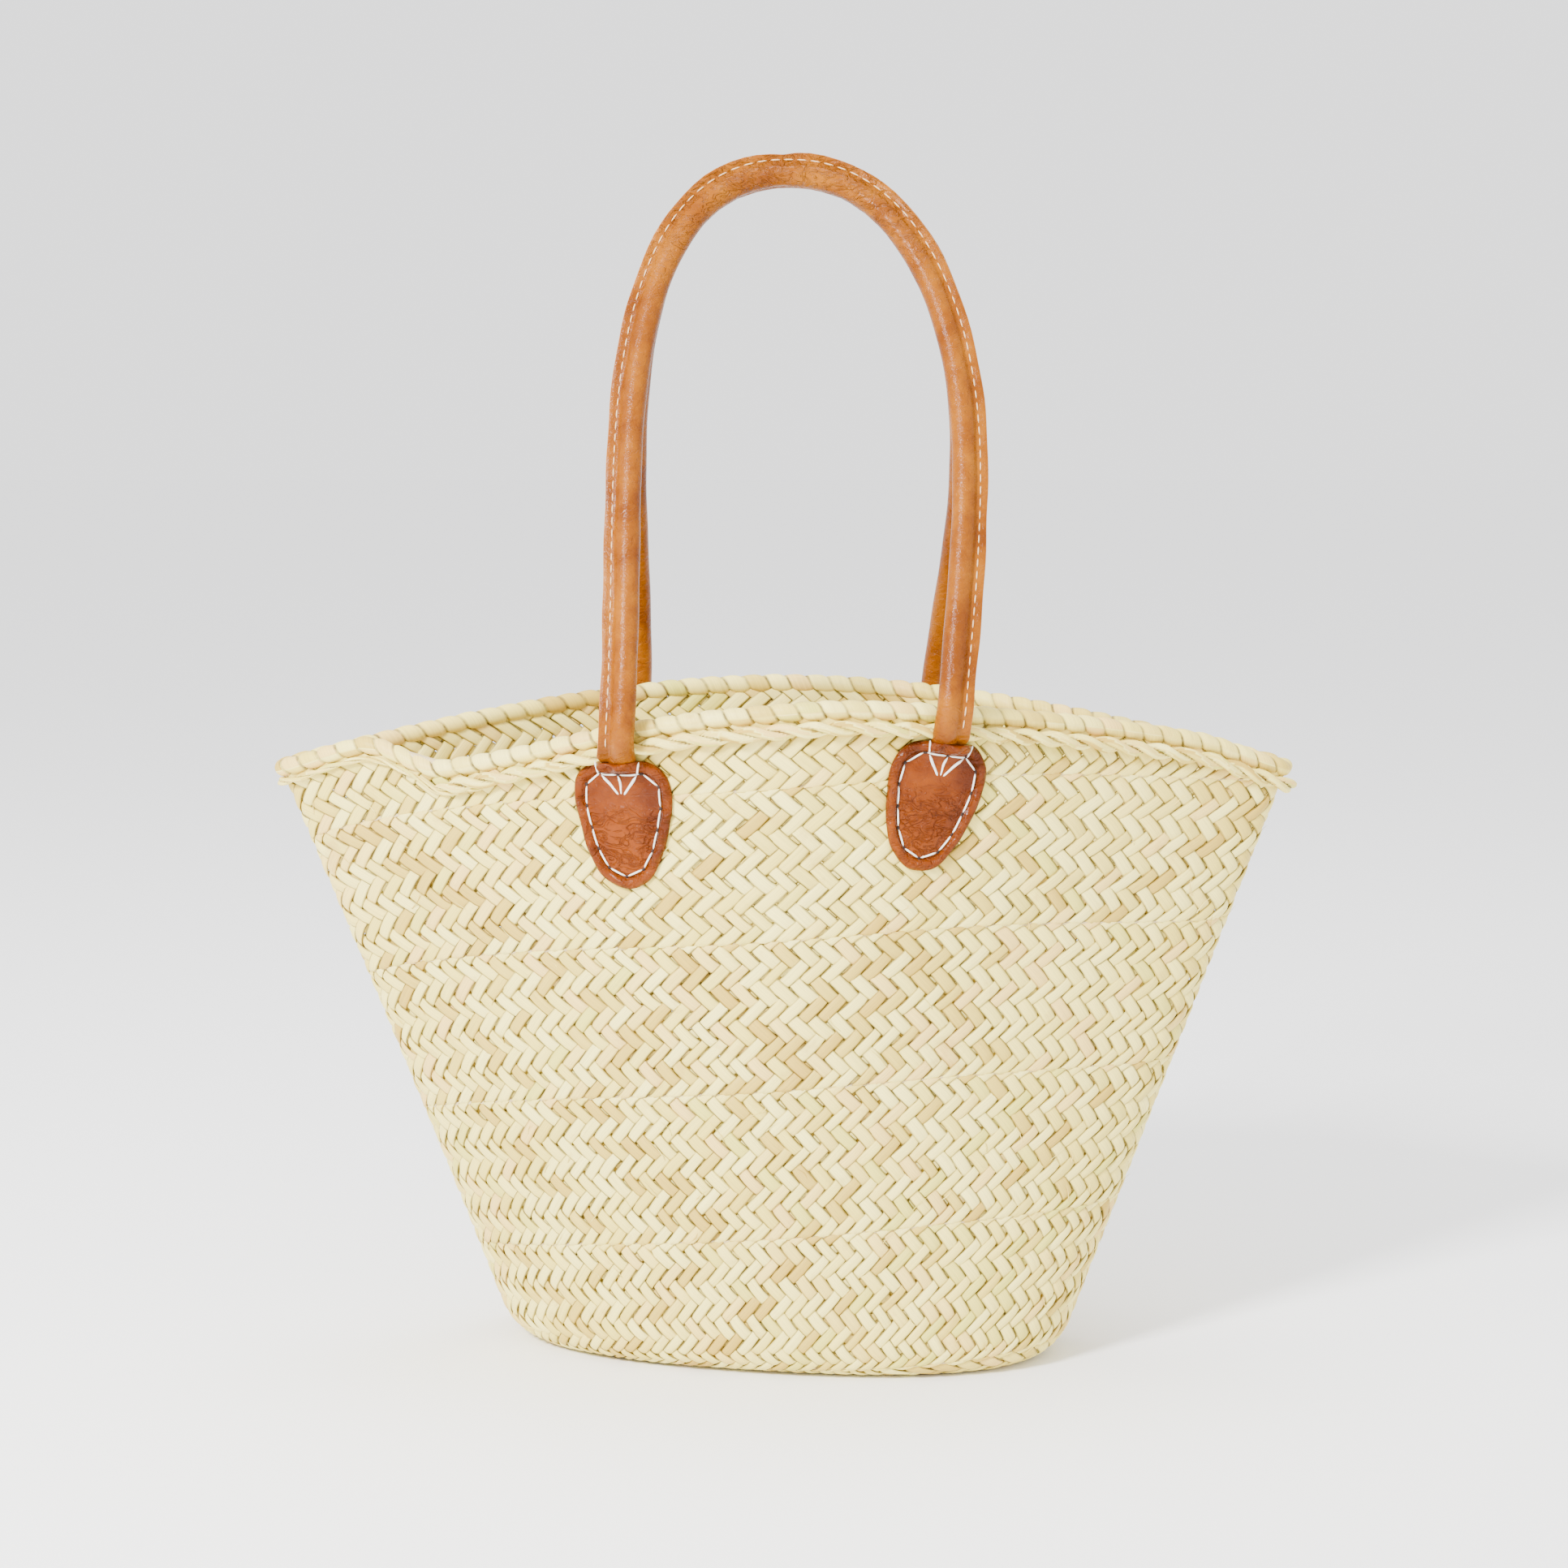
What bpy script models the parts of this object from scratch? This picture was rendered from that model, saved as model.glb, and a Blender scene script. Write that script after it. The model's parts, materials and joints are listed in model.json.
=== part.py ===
"""Palm-leaf market basket with two rolled leather shoulder handles.

One long plaited strip is coiled from the middle of the oval floor up to the rim, each turn laced to the
one below it by a cord. A leaf-wrapped roll caps the top edge, with a twisted rope under it on the outside.
Each handle is a leather sheet rolled round a rope core. Its two ends run under leather patches that are
sewn through the wall, and the handle folds outwards about the line through its two ends.

Frame: X along the mouth, Y from front (-) to back (+), Z up, origin under the middle of the floor.
"""

import math

import bmesh
import bpy
from mathutils import Matrix, Vector

# Floor and mouth, measured on the middle of the plait's thickness
FLOOR_HALF_LENGTH = 0.141
FLOOR_HALF_DEPTH = 0.077
FLOOR_SQUARENESS = 2.26
FLOOR_TWIST = math.radians(-12.8)
MOUTH_HALF_LENGTH = 0.2545
MOUTH_HALF_DEPTH = 0.1055
MOUTH_ROUNDNESS = 0.37
RIM_END_HEIGHT = 0.298
RIM_RISE = 0.034
RIM_RISE_POWER = 1.86
CORNER_REACH = 0.018

# The rim drops a little where the strip ends, at the left of the front
STEP_TOP_X = -0.212
STEP_FOOT_X = -0.168
STEP_END_X = -0.030
STEP_LIFT = 0.0035
STEP_DROP = 0.014

# Past the middle the front of the rim climbs above its even line, and comes back to it at the right end
CLIMB_START_X = -0.060
CLIMB_TOP_X = 0.040
CLIMB_EASE_X = 0.205
CLIMB = 0.0055

# The plaited strip and the cord that laces its turns together. The strip is plaited as wide as the wall
# needs for the same number of turns to reach the rim.
PLAIT_WIDTH = 0.255 * RIM_END_HEIGHT
PLAIT_THICKNESS = 0.004
FIRST_SEAM = 0.19 * RIM_END_HEIGHT
SPIRAL_START = math.radians(221)
NARROWEST_STRIP = 0.0055
CORD_RADIUS = 0.0011
CORD_GAP = 0.0008

# Rim
ROLL_RADIUS = 0.0049
WRAP_THICKNESS = 0.0008
CORE_RADIUS = ROLL_RADIUS / 2.2
CORE_LIFT = ROLL_RADIUS / 3.9
RIM_TUCK = 0.002
ROPE_RADIUS = 0.0035

# Handles
HANDLE_RADIUS = 0.006
LEATHER_THICKNESS = 0.0012
FLANGE_WIDTH = 0.006
HANDLE_SPACING = 0.156
SHOULDER_HALF_WIDTH = {"front": 0.0815, "back": 0.085}
SHOULDER_HEIGHT = 0.445
HANDLE_TOP = 0.595
HANDLE_SQUARENESS = 2.3
APEX_HALF_GAP = 0.001
LEAN_SOFTNESS = 0.12
HANDLE_SWAY = {"front": 0.0065, "back": 0.0075}
SEAM_THREAD_RADIUS = 0.00045

# Leather patches
PATCH_THICKNESS = 0.0024
PATCH_BELOW_RIM = ROLL_RADIUS + 2 * ROPE_RADIUS + 0.0048
PATCH_TILT = {"front_left": 0, "front_right": 6, "back_left": -3, "back_right": 3}
TAIL_WIDTH = 0.012
TAIL_THICKNESS = 0.0026
TAIL_LENGTH = 0.020
STITCH_INSET = 0.0065
STITCH_RADIUS = 0.0005
HINGE_LIFT = 0.003

# A patch's half width at each depth below its top edge
PATCH_OUTLINE = (
    (0.0, 0.0165),
    (0.003, 0.0215),
    (0.010, 0.0250),
    (0.018, 0.0260),
    (0.030, 0.0245),
    (0.042, 0.0215),
    (0.052, 0.0175),
    (0.059, 0.0125),
    (0.0635, 0.0065),
)

# Gaps between touching pieces: flat ones, and ones that bend round the wall or the handle
CLEARANCE = 0.0004
CURVE_CLEARANCE = 0.0008
HINGE_CLEARANCE = 0.0014

# Resolution
STATIONS = 48
CORNER_ROWS = 8
WALL_ROWS = 2
TOP_STITCHES = 4
SIDE_STITCHES = 14

UP = Vector((0, 0, 1))
BACKWARD = Vector((0, 1, 0))


def clear_scene():
    for obj in list(bpy.data.objects):
        bpy.data.objects.remove(obj)


def new_collection(name):
    found = bpy.data.collections.new(name)
    bpy.context.scene.collection.children.link(found)
    return found


def new_material(name, colour, roughness, metallic=0.0):
    material = bpy.data.materials.new(name)
    material.use_nodes = True
    shader = material.node_tree.nodes["Principled BSDF"]
    shader.inputs["Base Color"].default_value = (*colour, 1)
    shader.inputs["Roughness"].default_value = roughness
    shader.inputs["Metallic"].default_value = metallic
    return material


def signed_power(value, power):
    return math.copysign(abs(value) ** power, value)


def smoothstep(low, high, value):
    share = min(1, max(0, (value - low) / (high - low)))
    return share * share * (3 - 2 * share)


# ---------------------------------------------------------------- the basket's surface


def twisted(x, y):
    """A point of the floor, which is turned a little against the mouth."""
    return Matrix.Rotation(FLOOR_TWIST, 3, "Z") @ Vector((x, y, PLAIT_THICKNESS / 2))


def floor_line(angle):
    """(corner, ridge): the line where the floor would meet the wall if it weren't rounded, and the
    nearest point to it on the seam along the middle of the floor."""
    power = 2 / FLOOR_SQUARENESS
    x = FLOOR_HALF_LENGTH * signed_power(math.cos(angle), power)
    y = FLOOR_HALF_DEPTH * signed_power(math.sin(angle), power)
    reach = FLOOR_HALF_LENGTH - FLOOR_HALF_DEPTH
    return twisted(x, y), twisted(min(reach, max(-reach, x)), 0)


def rim_step(angle, x):
    """How far the front of the rim stands above or below its even line."""
    if math.sin(angle) >= 0:
        return 0
    rise = smoothstep(-MOUTH_HALF_LENGTH, STEP_TOP_X, x)
    fall = smoothstep(STEP_TOP_X, STEP_FOOT_X, x)
    recover = smoothstep(STEP_FOOT_X, STEP_END_X, x)
    climb = smoothstep(CLIMB_START_X, CLIMB_TOP_X, x)
    ease = smoothstep(CLIMB_EASE_X, MOUTH_HALF_LENGTH, x)
    step = STEP_LIFT * rise * (1 - fall) - STEP_DROP * fall * (1 - recover)
    return step + CLIMB * climb * (1 - ease)


def rim_point(angle):
    """The centre of the rim roll: a lens in plan, higher in the middle than at the ends."""
    x = MOUTH_HALF_LENGTH * math.cos(angle)
    lens = (1 + math.cos(math.pi * math.cos(angle))) / 2
    y = (1 - MOUTH_ROUNDNESS) * math.copysign(lens, math.sin(angle))
    y += MOUTH_ROUNDNESS * math.sin(angle)
    z = RIM_END_HEIGHT + RIM_RISE * (1 - abs(math.cos(angle)) ** RIM_RISE_POWER)
    return Vector((x, MOUTH_HALF_DEPTH * y, z + rim_step(angle, x)))


def wall_length(angle):
    return (rim_point(angle) - floor_line(angle)[0]).length


def shell_point(angle, height):
    """A point on the middle of the plait. height runs along the surface from the corner line: up the
    wall where it is positive, in over the floor where it is negative."""
    corner, ridge = floor_line(angle)
    length = wall_length(angle)

    def floor_at(reach):
        return ridge + (corner - ridge) * (1 + reach / FLOOR_HALF_DEPTH)

    def wall_at(reach):
        return corner.lerp(rim_point(angle), reach / length)

    if height <= -CORNER_REACH:
        return floor_at(height)
    if height >= CORNER_REACH:
        return wall_at(height)
    share = (height + CORNER_REACH) / (2 * CORNER_REACH)
    low = floor_at(-CORNER_REACH).lerp(corner, share)
    high = corner.lerp(wall_at(CORNER_REACH), share)
    return low.lerp(high, share)


def shell_frame(angle, height):
    """(tangent round the basket, direction up the surface, outward normal) at a point of the plait."""
    step = 1e-4
    around = shell_point(angle + step, height) - shell_point(angle - step, height)
    rise = shell_point(angle, height + step) - shell_point(angle, height - step)
    normal = around.cross(rise).normalized()
    tangent = around.normalized()
    return tangent, normal.cross(tangent), normal


def turn_shares():
    """How much of a turn the spiral has made at each station, by length along the wall's middle."""
    angles = [SPIRAL_START + math.tau * i / STATIONS for i in range(STATIONS + 1)]
    middles = [(floor_line(a)[0] + rim_point(a)) / 2 for a in angles]
    lengths = [0.0]
    for first, second in zip(middles, middles[1:]):
        lengths.append(lengths[-1] + (second - first).length)
    return angles, [length / lengths[-1] for length in lengths]


ANGLES, SHARES = turn_shares()
SEAM_GAP = 2 * (CORD_RADIUS + CORD_GAP)
LOWEST = -FLOOR_HALF_DEPTH + SEAM_GAP / 2


def seam_height(number, station):
    return FIRST_SEAM + PLAIT_WIDTH * (number + SHARES[station])


def highest(station):
    return wall_length(ANGLES[station]) - RIM_TUCK


def strip_edges(number, station):
    """(lower, upper) edge of the strip's turn at a station, or None where the turn isn't there."""
    low, high = seam_height(number, station), seam_height(number + 1, station)
    top = highest(station)
    if min(high, top) - max(low, LOWEST) < NARROWEST_STRIP:
        return None
    low = LOWEST if low - LOWEST < NARROWEST_STRIP else low + SEAM_GAP / 2
    high = top if top - high < NARROWEST_STRIP else high - SEAM_GAP / 2
    return low, high


# ---------------------------------------------------------------- mesh building


def add_object(name, mesh, material, parent=None):
    mesh.materials.append(material)
    mesh.shade_smooth()
    mesh.set_sharp_from_angle(angle=math.radians(40))
    obj = bpy.data.objects.new(name, mesh)
    PARTS.objects.link(obj)
    if parent:
        obj.parent = parent
        obj.location = -parent.location
    return obj


def grid_mesh(name, rows, closed=False):
    """An open surface through rows of points. closed joins the last row to the first."""
    bm = bmesh.new()
    verts = [[bm.verts.new(point) for point in row] for row in rows]
    pairs = list(zip(verts, verts[1:]))
    if closed:
        pairs.append((verts[-1], verts[0]))
    for first, second in pairs:
        for i in range(len(first) - 1):
            bm.faces.new((first[i], second[i], second[i + 1], first[i + 1]))
    mesh = bpy.data.meshes.new(name)
    bm.to_mesh(mesh)
    bm.free()
    return mesh


def loft_mesh(name, sections, closed=False):
    """A tube through closed sections, capped at its ends unless it is a closed ring."""
    bm = bmesh.new()
    verts = [[bm.verts.new(point) for point in section] for section in sections]
    pairs = list(zip(verts, verts[1:]))
    if closed:
        pairs.append((verts[-1], verts[0]))
    else:
        bm.faces.new(reversed(verts[0]))
        bm.faces.new(verts[-1])
    for first, second in pairs:
        for i, vert in enumerate(first):
            after = (i + 1) % len(first)
            bm.faces.new((vert, first[after], second[after], second[i]))
    bmesh.ops.recalc_face_normals(bm, faces=bm.faces)
    mesh = bpy.data.meshes.new(name)
    bm.to_mesh(mesh)
    bm.free()
    return mesh


def thicken(obj, thickness, offset=0.0):
    solidify = obj.modifiers.new("Thickness", "SOLIDIFY")
    solidify.thickness = thickness
    solidify.offset = offset
    solidify.use_even_offset = True


def cord_object(name, points, radius, material, parent=None, sides=1):
    """A round cord or thread as a curve. sides 1 makes a six-sided one."""
    curve = bpy.data.curves.new(name, "CURVE")
    curve.dimensions = "3D"
    curve.bevel_depth = radius
    curve.bevel_resolution = sides
    curve.use_fill_caps = True
    spline = curve.splines.new("POLY")
    spline.points.add(len(points) - 1)
    for target, point in zip(spline.points, points):
        target.co = (*point, 1)
    curve.materials.append(material)
    obj = bpy.data.objects.new(name, curve)
    PARTS.objects.link(obj)
    if parent:
        obj.parent = parent
        obj.location = -parent.location
    return obj


# ---------------------------------------------------------------- the coiled plait and its cords


def turn_rows(number, station):
    """Heights across the strip: close together round the floor's corner, wider on the straight wall."""
    low, high = strip_edges(number, station)
    count = CORNER_ROWS if seam_height(number, 0) < CORNER_REACH else WALL_ROWS
    return [low + (high - low) * i / count for i in range(count + 1)]


def make_plait_turns():
    """Each turn of the strip, from the floor's middle to the rim, with the cord along its lower edge."""
    number = math.floor((LOWEST - FIRST_SEAM) / PLAIT_WIDTH) - 1
    made = 0
    while seam_height(number, 0) < max(highest(i) for i in range(STATIONS)):
        present = [i for i in range(STATIONS + 1) if strip_edges(number, i)]
        if len(present) > 2:
            made += 1
            make_turn(f"plait_turn_{made}", number, present)
            make_seam_cord(f"seam_cord_{made}", number, present)
        number += 1


def make_turn(name, number, present):
    rows = []
    for i in present:
        angle = ANGLES[i]
        rows.append([shell_point(angle, height) for height in turn_rows(number, i)])
    for end, beside in ((0, 1), (-1, -2)):
        shorten_end(rows, end, beside)
    thicken(add_object(name, grid_mesh(name, rows), LEAF), PLAIT_THICKNESS)


def shorten_end(rows, end, beside):
    """Pulls an end row back a little, so that it doesn't touch the turn that carries on from it."""
    for i, point in enumerate(rows[end]):
        back = (rows[beside][i] - point).normalized()
        rows[end][i] = point + back * CLEARANCE


def make_seam_cord(name, number, present):
    """The lacing cord in the seam under a turn, where there is strip on both sides of it."""
    below = [i for i in present if strip_edges(number - 1, i)]
    below = [i for i in below if strip_edges(number, i)[0] > seam_height(number, i)]
    if len(below) < 3:
        return
    points = [shell_point(ANGLES[i], seam_height(number, i)) for i in below]
    for end, beside in ((0, 1), (-1, -2)):
        back = (points[beside] - points[end]).normalized()
        points[end] = points[end] + back * 2 * CORD_RADIUS
    cord_object(name, points, CORD_RADIUS, CORD, sides=0)


def make_floor_cord():
    """The cord that closes the straight seam along the middle of the floor."""
    reach = FLOOR_HALF_LENGTH - FLOOR_HALF_DEPTH
    points = [twisted(-reach, 0), twisted(reach, 0)]
    cord_object("seam_cord_floor_middle", points, CORD_RADIUS, CORD)


# ---------------------------------------------------------------- rim


def rim_section(angle, offsets):
    """Points round the rim's centre line, given as (outward, up the wall) offsets."""
    tangent, rise, normal = shell_frame(angle, wall_length(angle) - RIM_TUCK)
    centre = rim_point(angle)
    return [centre + normal * out + rise * lift for out, lift in offsets]


def circle(radius, count, out=0.0, lift=0.0):
    turns = [math.tau * i / count for i in range(count)]
    return [(out + radius * math.cos(t), lift + radius * math.sin(t)) for t in turns]


def wrap_offsets():
    """The wrapping's section: a ring that is open below, where the wall comes up into it."""
    inner = ROLL_RADIUS - WRAP_THICKNESS
    opening = math.asin((PLAIT_THICKNESS / 2 + CURVE_CLEARANCE * 1.5) / inner)
    count = 7
    span = math.tau - 2 * opening
    turns = [-math.pi / 2 + opening + span * i / (count - 1) for i in range(count)]
    outside = [(ROLL_RADIUS * math.cos(t), ROLL_RADIUS * math.sin(t)) for t in turns]
    inside = [(inner * math.cos(t), inner * math.sin(t)) for t in reversed(turns)]
    return outside + inside


def make_rim():
    core = circle(CORE_RADIUS, 6, lift=CORE_LIFT)
    closed = ANGLES[:-1]
    sections = [rim_section(angle, core) for angle in closed]
    add_object("rim_core", loft_mesh("rim_core", sections, closed=True), CORD)
    sections = [rim_section(angle, wrap_offsets()) for angle in closed]
    add_object("rim_wrap", loft_mesh("rim_wrap", sections, closed=True), LEAF)
    out = PLAIT_THICKNESS / 2 + CURVE_CLEARANCE + ROPE_RADIUS
    lift = -(ROLL_RADIUS + CLEARANCE + ROPE_RADIUS)
    rope = circle(ROPE_RADIUS, 6, out, lift)
    sections = [rim_section(angle, rope) for angle in ANGLES]
    for end, beside in ((0, 1), (-1, -2)):
        for i, point in enumerate(sections[end]):
            back = (sections[beside][i] - point).normalized()
            sections[end][i] = point + back * ROPE_RADIUS
    add_object("rim_rope", loft_mesh("rim_rope", sections), LEAF)


# ---------------------------------------------------------------- handles


def patch_top(angle):
    return wall_length(angle) - PATCH_BELOW_RIM


def patch_angle(side, hand):
    """The angle round the basket at which a patch's top is half the handle spacing from the centre."""
    target = HANDLE_SPACING / 2 if hand == "right" else -HANDLE_SPACING / 2
    right, left = (45, 135) if side == "back" else (-45, -135)
    for _ in range(40):
        middle = (left + right) / 2
        angle = math.radians(middle)
        x = shell_point(angle, patch_top(angle)).x
        left, right = (middle, right) if x < target else (left, middle)
    return math.radians((left + right) / 2)


def hinge_line(side):
    """(distance from the middle plane, height) of the line that a handle folds about. It is just above
    the patches, as far out as the handle needs to clear the rope."""
    rope_front = PLAIT_THICKNESS / 2 + CURVE_CLEARANCE + 2 * ROPE_RADIUS
    outs, heights = [], []
    for hand in ("left", "right"):
        angle = patch_angle(side, hand)
        height = patch_top(angle) + HINGE_LIFT
        root = shell_point(angle, height)
        normal = shell_frame(angle, height)[2]
        outs.append(abs(root.y) + (rope_front + HINGE_CLEARANCE + HANDLE_RADIUS) / abs(normal.y))
        heights.append(root.z)
    return max(outs), max(heights)


def handle_path(side):
    """Points along the middle of a handle, from its left end over the top to its right end."""
    out, foot = hinge_line(side)
    apex = HANDLE_RADIUS + APEX_HALF_GAP
    half = []
    leg_steps, arch_steps = 6, 9
    for i in range(leg_steps):
        share = i / leg_steps
        width = HANDLE_SPACING / 2
        width += (SHOULDER_HALF_WIDTH[side] - width) * smoothstep(0, 1, share)
        half.append((width, foot + (SHOULDER_HEIGHT - foot) * share))
    power = 2 / HANDLE_SQUARENESS
    for i in range(arch_steps + 1):
        turn = math.pi / 2 * i / arch_steps
        width = SHOULDER_HALF_WIDTH[side] * max(0, math.cos(turn)) ** power
        rise = (HANDLE_TOP - SHOULDER_HEIGHT) * math.sin(turn) ** power
        half.append((width if i < arch_steps else 0, SHOULDER_HEIGHT + rise))
    flat = [(-x, z) for x, z in half] + [(x, z) for x, z in reversed(half[:-1])]
    facing = -1 if side == "front" else 1
    soft_end = math.hypot(1, LEAN_SOFTNESS) - LEAN_SOFTNESS
    points = []
    for x, z in flat:
        share = (z - foot) / (HANDLE_TOP - foot)
        lean = (math.hypot(share, LEAN_SOFTNESS) - LEAN_SOFTNESS) / soft_end
        sway = HANDLE_SWAY[side] * math.sin(0.9 * math.pi * share)
        points.append(Vector((x + sway, facing * (out + (apex - out) * lean), z)))
    return points


def handle_frames(points):
    """(point, direction out of the loop, direction from front to back) at each point of a handle."""
    frames = []
    for i, point in enumerate(points):
        before, after = points[max(0, i - 1)], points[min(len(points) - 1, i + 1)]
        along = UP if i == 0 else -UP if i == len(points) - 1 else after - before
        outward = along.cross(BACKWARD).normalized()
        frames.append((point, outward, outward.cross(along).normalized()))
    return frames


def cover_profile():
    """The leather's section: round the core and out into the two layers of the sewn flange."""
    radius = HANDLE_RADIUS - LEATHER_THICKNESS / 2
    layer = LEATHER_THICKNESS / 2 + CLEARANCE / 2
    start = math.asin(layer / radius)
    count = 9
    span = math.tau - 2 * start
    turns = [start + span * i / (count - 1) for i in range(count)]
    ring = [(radius * math.cos(t), radius * math.sin(t)) for t in turns]
    tip = HANDLE_RADIUS + FLANGE_WIDTH
    return [(tip, layer), *ring, (tip, -layer)]


def make_handle(side):
    out, foot = hinge_line(side)
    hinge = bpy.data.objects.new(f"{side}_handle_hinge", None)
    hinge.location = (0, -out if side == "front" else out, foot)
    PARTS.objects.link(hinge)
    points = handle_path(side)
    frames = handle_frames(points)
    name = f"{side}_handle_cover"
    rows = [
        [point + outward * u + across * v for u, v in cover_profile()]
        for point, outward, across in frames
    ]
    thicken(add_object(name, grid_mesh(name, rows), LEATHER, hinge), LEATHER_THICKNESS)
    name = f"{side}_handle_core"
    core = circle(HANDLE_RADIUS - LEATHER_THICKNESS - CURVE_CLEARANCE, 8)
    sections = [
        [point + outward * u + across * v for u, v in core]
        for point, outward, across in frames
    ]
    add_object(name, loft_mesh(name, sections), CORD, hinge)
    facing = -1 if side == "front" else 1
    lift = LEATHER_THICKNESS + CLEARANCE * 1.5 + SEAM_THREAD_RADIUS
    run = HANDLE_RADIUS + FLANGE_WIDTH / 3
    thread = [point + outward * run + across * facing * lift for point, outward, across in frames]
    cord_object(f"{side}_handle_seam_thread", thread, SEAM_THREAD_RADIUS, THREAD, hinge, sides=0)


# ---------------------------------------------------------------- patches


def patch_point(side, hand, across, depth, lift):
    """A point over the wall in a patch's own coordinates: across it, down from its top edge, and out
    from the middle of the plait."""
    angle = patch_angle(side, hand)
    height = patch_top(angle)
    tilt = math.radians(PATCH_TILT[f"{side}_{hand}"])
    facing = 1 if side == "front" else -1
    x = facing * across * math.cos(tilt) - depth * math.sin(tilt)
    y = -depth * math.cos(tilt) - facing * across * math.sin(tilt)
    step = 1e-4
    speed = (shell_point(angle + step, height) - shell_point(angle - step, height)).length / (2 * step)
    around = angle + x / speed
    return shell_point(around, height + y) + shell_frame(around, height + y)[2] * lift


TAIL_EDGE = TAIL_WIDTH / 2 + CLEARANCE
BULGE_EDGE = TAIL_EDGE + TAIL_THICKNESS


def tail_bulge(across, depth, spread=0.0):
    """How far a patch stands off the wall to pass over the handle's flattened end."""
    side = (BULGE_EDGE + spread - abs(across)) / (BULGE_EDGE + spread - TAIL_EDGE)
    end = (TAIL_LENGTH + TAIL_THICKNESS * 2 - depth) / (TAIL_THICKNESS * 2)
    shares = [min(1, max(0, share)) for share in (side, end)]
    return (TAIL_THICKNESS + CLEARANCE) * min(shares)


def outline_width(depth, inset=0.0):
    """Half the patch's width at a depth below its top edge."""
    for (upper, wide), (lower, narrow) in zip(PATCH_OUTLINE, PATCH_OUTLINE[1:]):
        if depth <= lower:
            return wide + (narrow - wide) * (depth - upper) / (lower - upper) - inset
    return PATCH_OUTLINE[-1][1] - inset


def patch_columns(width):
    """Places across a patch, with one at each edge of the bulge over the handle's end."""
    inner, outer = min(TAIL_EDGE, width * 0.4), min(BULGE_EDGE, width * 0.6)
    half = [inner, outer, (outer + width) / 2, width]
    return [-place for place in reversed(half)] + [0] + half


def make_patch(name, side, hand, outer):
    depths = [depth for depth, _ in PATCH_OUTLINE] + [TAIL_LENGTH, TAIL_LENGTH + TAIL_THICKNESS * 2]
    rows = []
    for depth in sorted(depths):
        row = []
        for across in patch_columns(outline_width(depth)):
            lift = (PLAIT_THICKNESS + PATCH_THICKNESS) / 2
            lift += CLEARANCE + tail_bulge(across, depth) if outer else CURVE_CLEARANCE
            row.append(patch_point(side, hand, across, depth, lift if outer else -lift))
        rows.append(row)
    thicken(add_object(name, grid_mesh(name, rows), LEATHER), PATCH_THICKNESS)


def stitch_route():
    """(across, depth) of points along the row of stitches round a patch."""
    low = PATCH_OUTLINE[-1][0] - STITCH_INSET
    corner = outline_width(STITCH_INSET, STITCH_INSET)
    half = [(corner * i / TOP_STITCHES, STITCH_INSET) for i in range(TOP_STITCHES)]
    for i in range(SIDE_STITCHES):
        share = (1 - math.cos(math.pi * i / (SIDE_STITCHES - 1))) / 2
        depth = STITCH_INSET + (low - STITCH_INSET) * share
        half.append((outline_width(depth, STITCH_INSET), depth))
    return half + [(-across, depth) for across, depth in reversed(half[1:])]


def make_stitching(name, side, hand):
    """The waxed thread that runs round a patch, lying on its face."""
    face = PLAIT_THICKNESS / 2 + CLEARANCE + PATCH_THICKNESS
    lift = face + CURVE_CLEARANCE + STITCH_RADIUS
    route = stitch_route()
    points = [
        patch_point(side, hand, across, depth, lift + tail_bulge(across, depth, TAIL_THICKNESS * 2))
        for across, depth in route
    ]
    sections = []
    for i, centre in enumerate(points):
        along = points[(i + 1) % len(points)] - points[i - 1]
        normal = patch_point(side, hand, *route[i], lift + 1) - patch_point(side, hand, *route[i], lift)
        beside = along.cross(normal).normalized()
        ring = circle(STITCH_RADIUS, 4)
        sections.append([centre + normal * u + beside * v for u, v in ring])
    add_object(name, loft_mesh(name, sections, closed=True), THREAD)


def make_tail(name, side, hand):
    """The handle's flattened end, under its patch, coming out over the top edge towards the hinge."""
    rest = PLAIT_THICKNESS / 2 + CLEARANCE + TAIL_THICKNESS / 2
    run = [
        (TAIL_LENGTH, 0.0, 0.0),
        (0.0, 0.0, 0.0),
        (-TAIL_THICKNESS * 0.35, 0.1, 0.4),
        (-TAIL_THICKNESS * 0.6, 0.6, 0.9),
        (-TAIL_THICKNESS * 0.65, 1.5, 1.3),
    ]
    half = TAIL_WIDTH / 2
    sections = []
    for depth, rise, lean in run:
        lift = rest + rise * TAIL_THICKNESS
        thick_down = math.sin(lean) * TAIL_THICKNESS / 2
        thick_out = math.cos(lean) * TAIL_THICKNESS / 2
        corners = ((-half, 1), (half, 1), (half, -1), (-half, -1))
        sections.append(
            [
                patch_point(side, hand, across, depth + sign * thick_down, lift + sign * thick_out)
                for across, sign in corners
            ]
        )
    add_object(name, loft_mesh(name, sections), LEATHER)


def make_fixings():
    for side in ("front", "back"):
        for hand in ("left", "right"):
            make_patch(f"{side}_{hand}_patch", side, hand, outer=True)
            make_patch(f"{side}_{hand}_inner_patch", side, hand, outer=False)
            make_stitching(f"{side}_{hand}_patch_stitching", side, hand)
            make_tail(f"{side}_{hand}_handle_end", side, hand)


clear_scene()
PARTS = new_collection("market_basket")
LEAF = new_material("palm_leaf", (0.79, 0.69, 0.43), 0.62)
CORD = new_material("palm_cord", (0.66, 0.53, 0.30), 0.8)
LEATHER = new_material("tan_leather", (0.52, 0.19, 0.05), 0.38)
THREAD = new_material("waxed_thread", (0.85, 0.82, 0.75), 0.6)

make_plait_turns()
make_floor_cord()
make_rim()
for handle_side in ("front", "back"):
    make_handle(handle_side)
make_fixings()
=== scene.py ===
import json
import math

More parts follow.
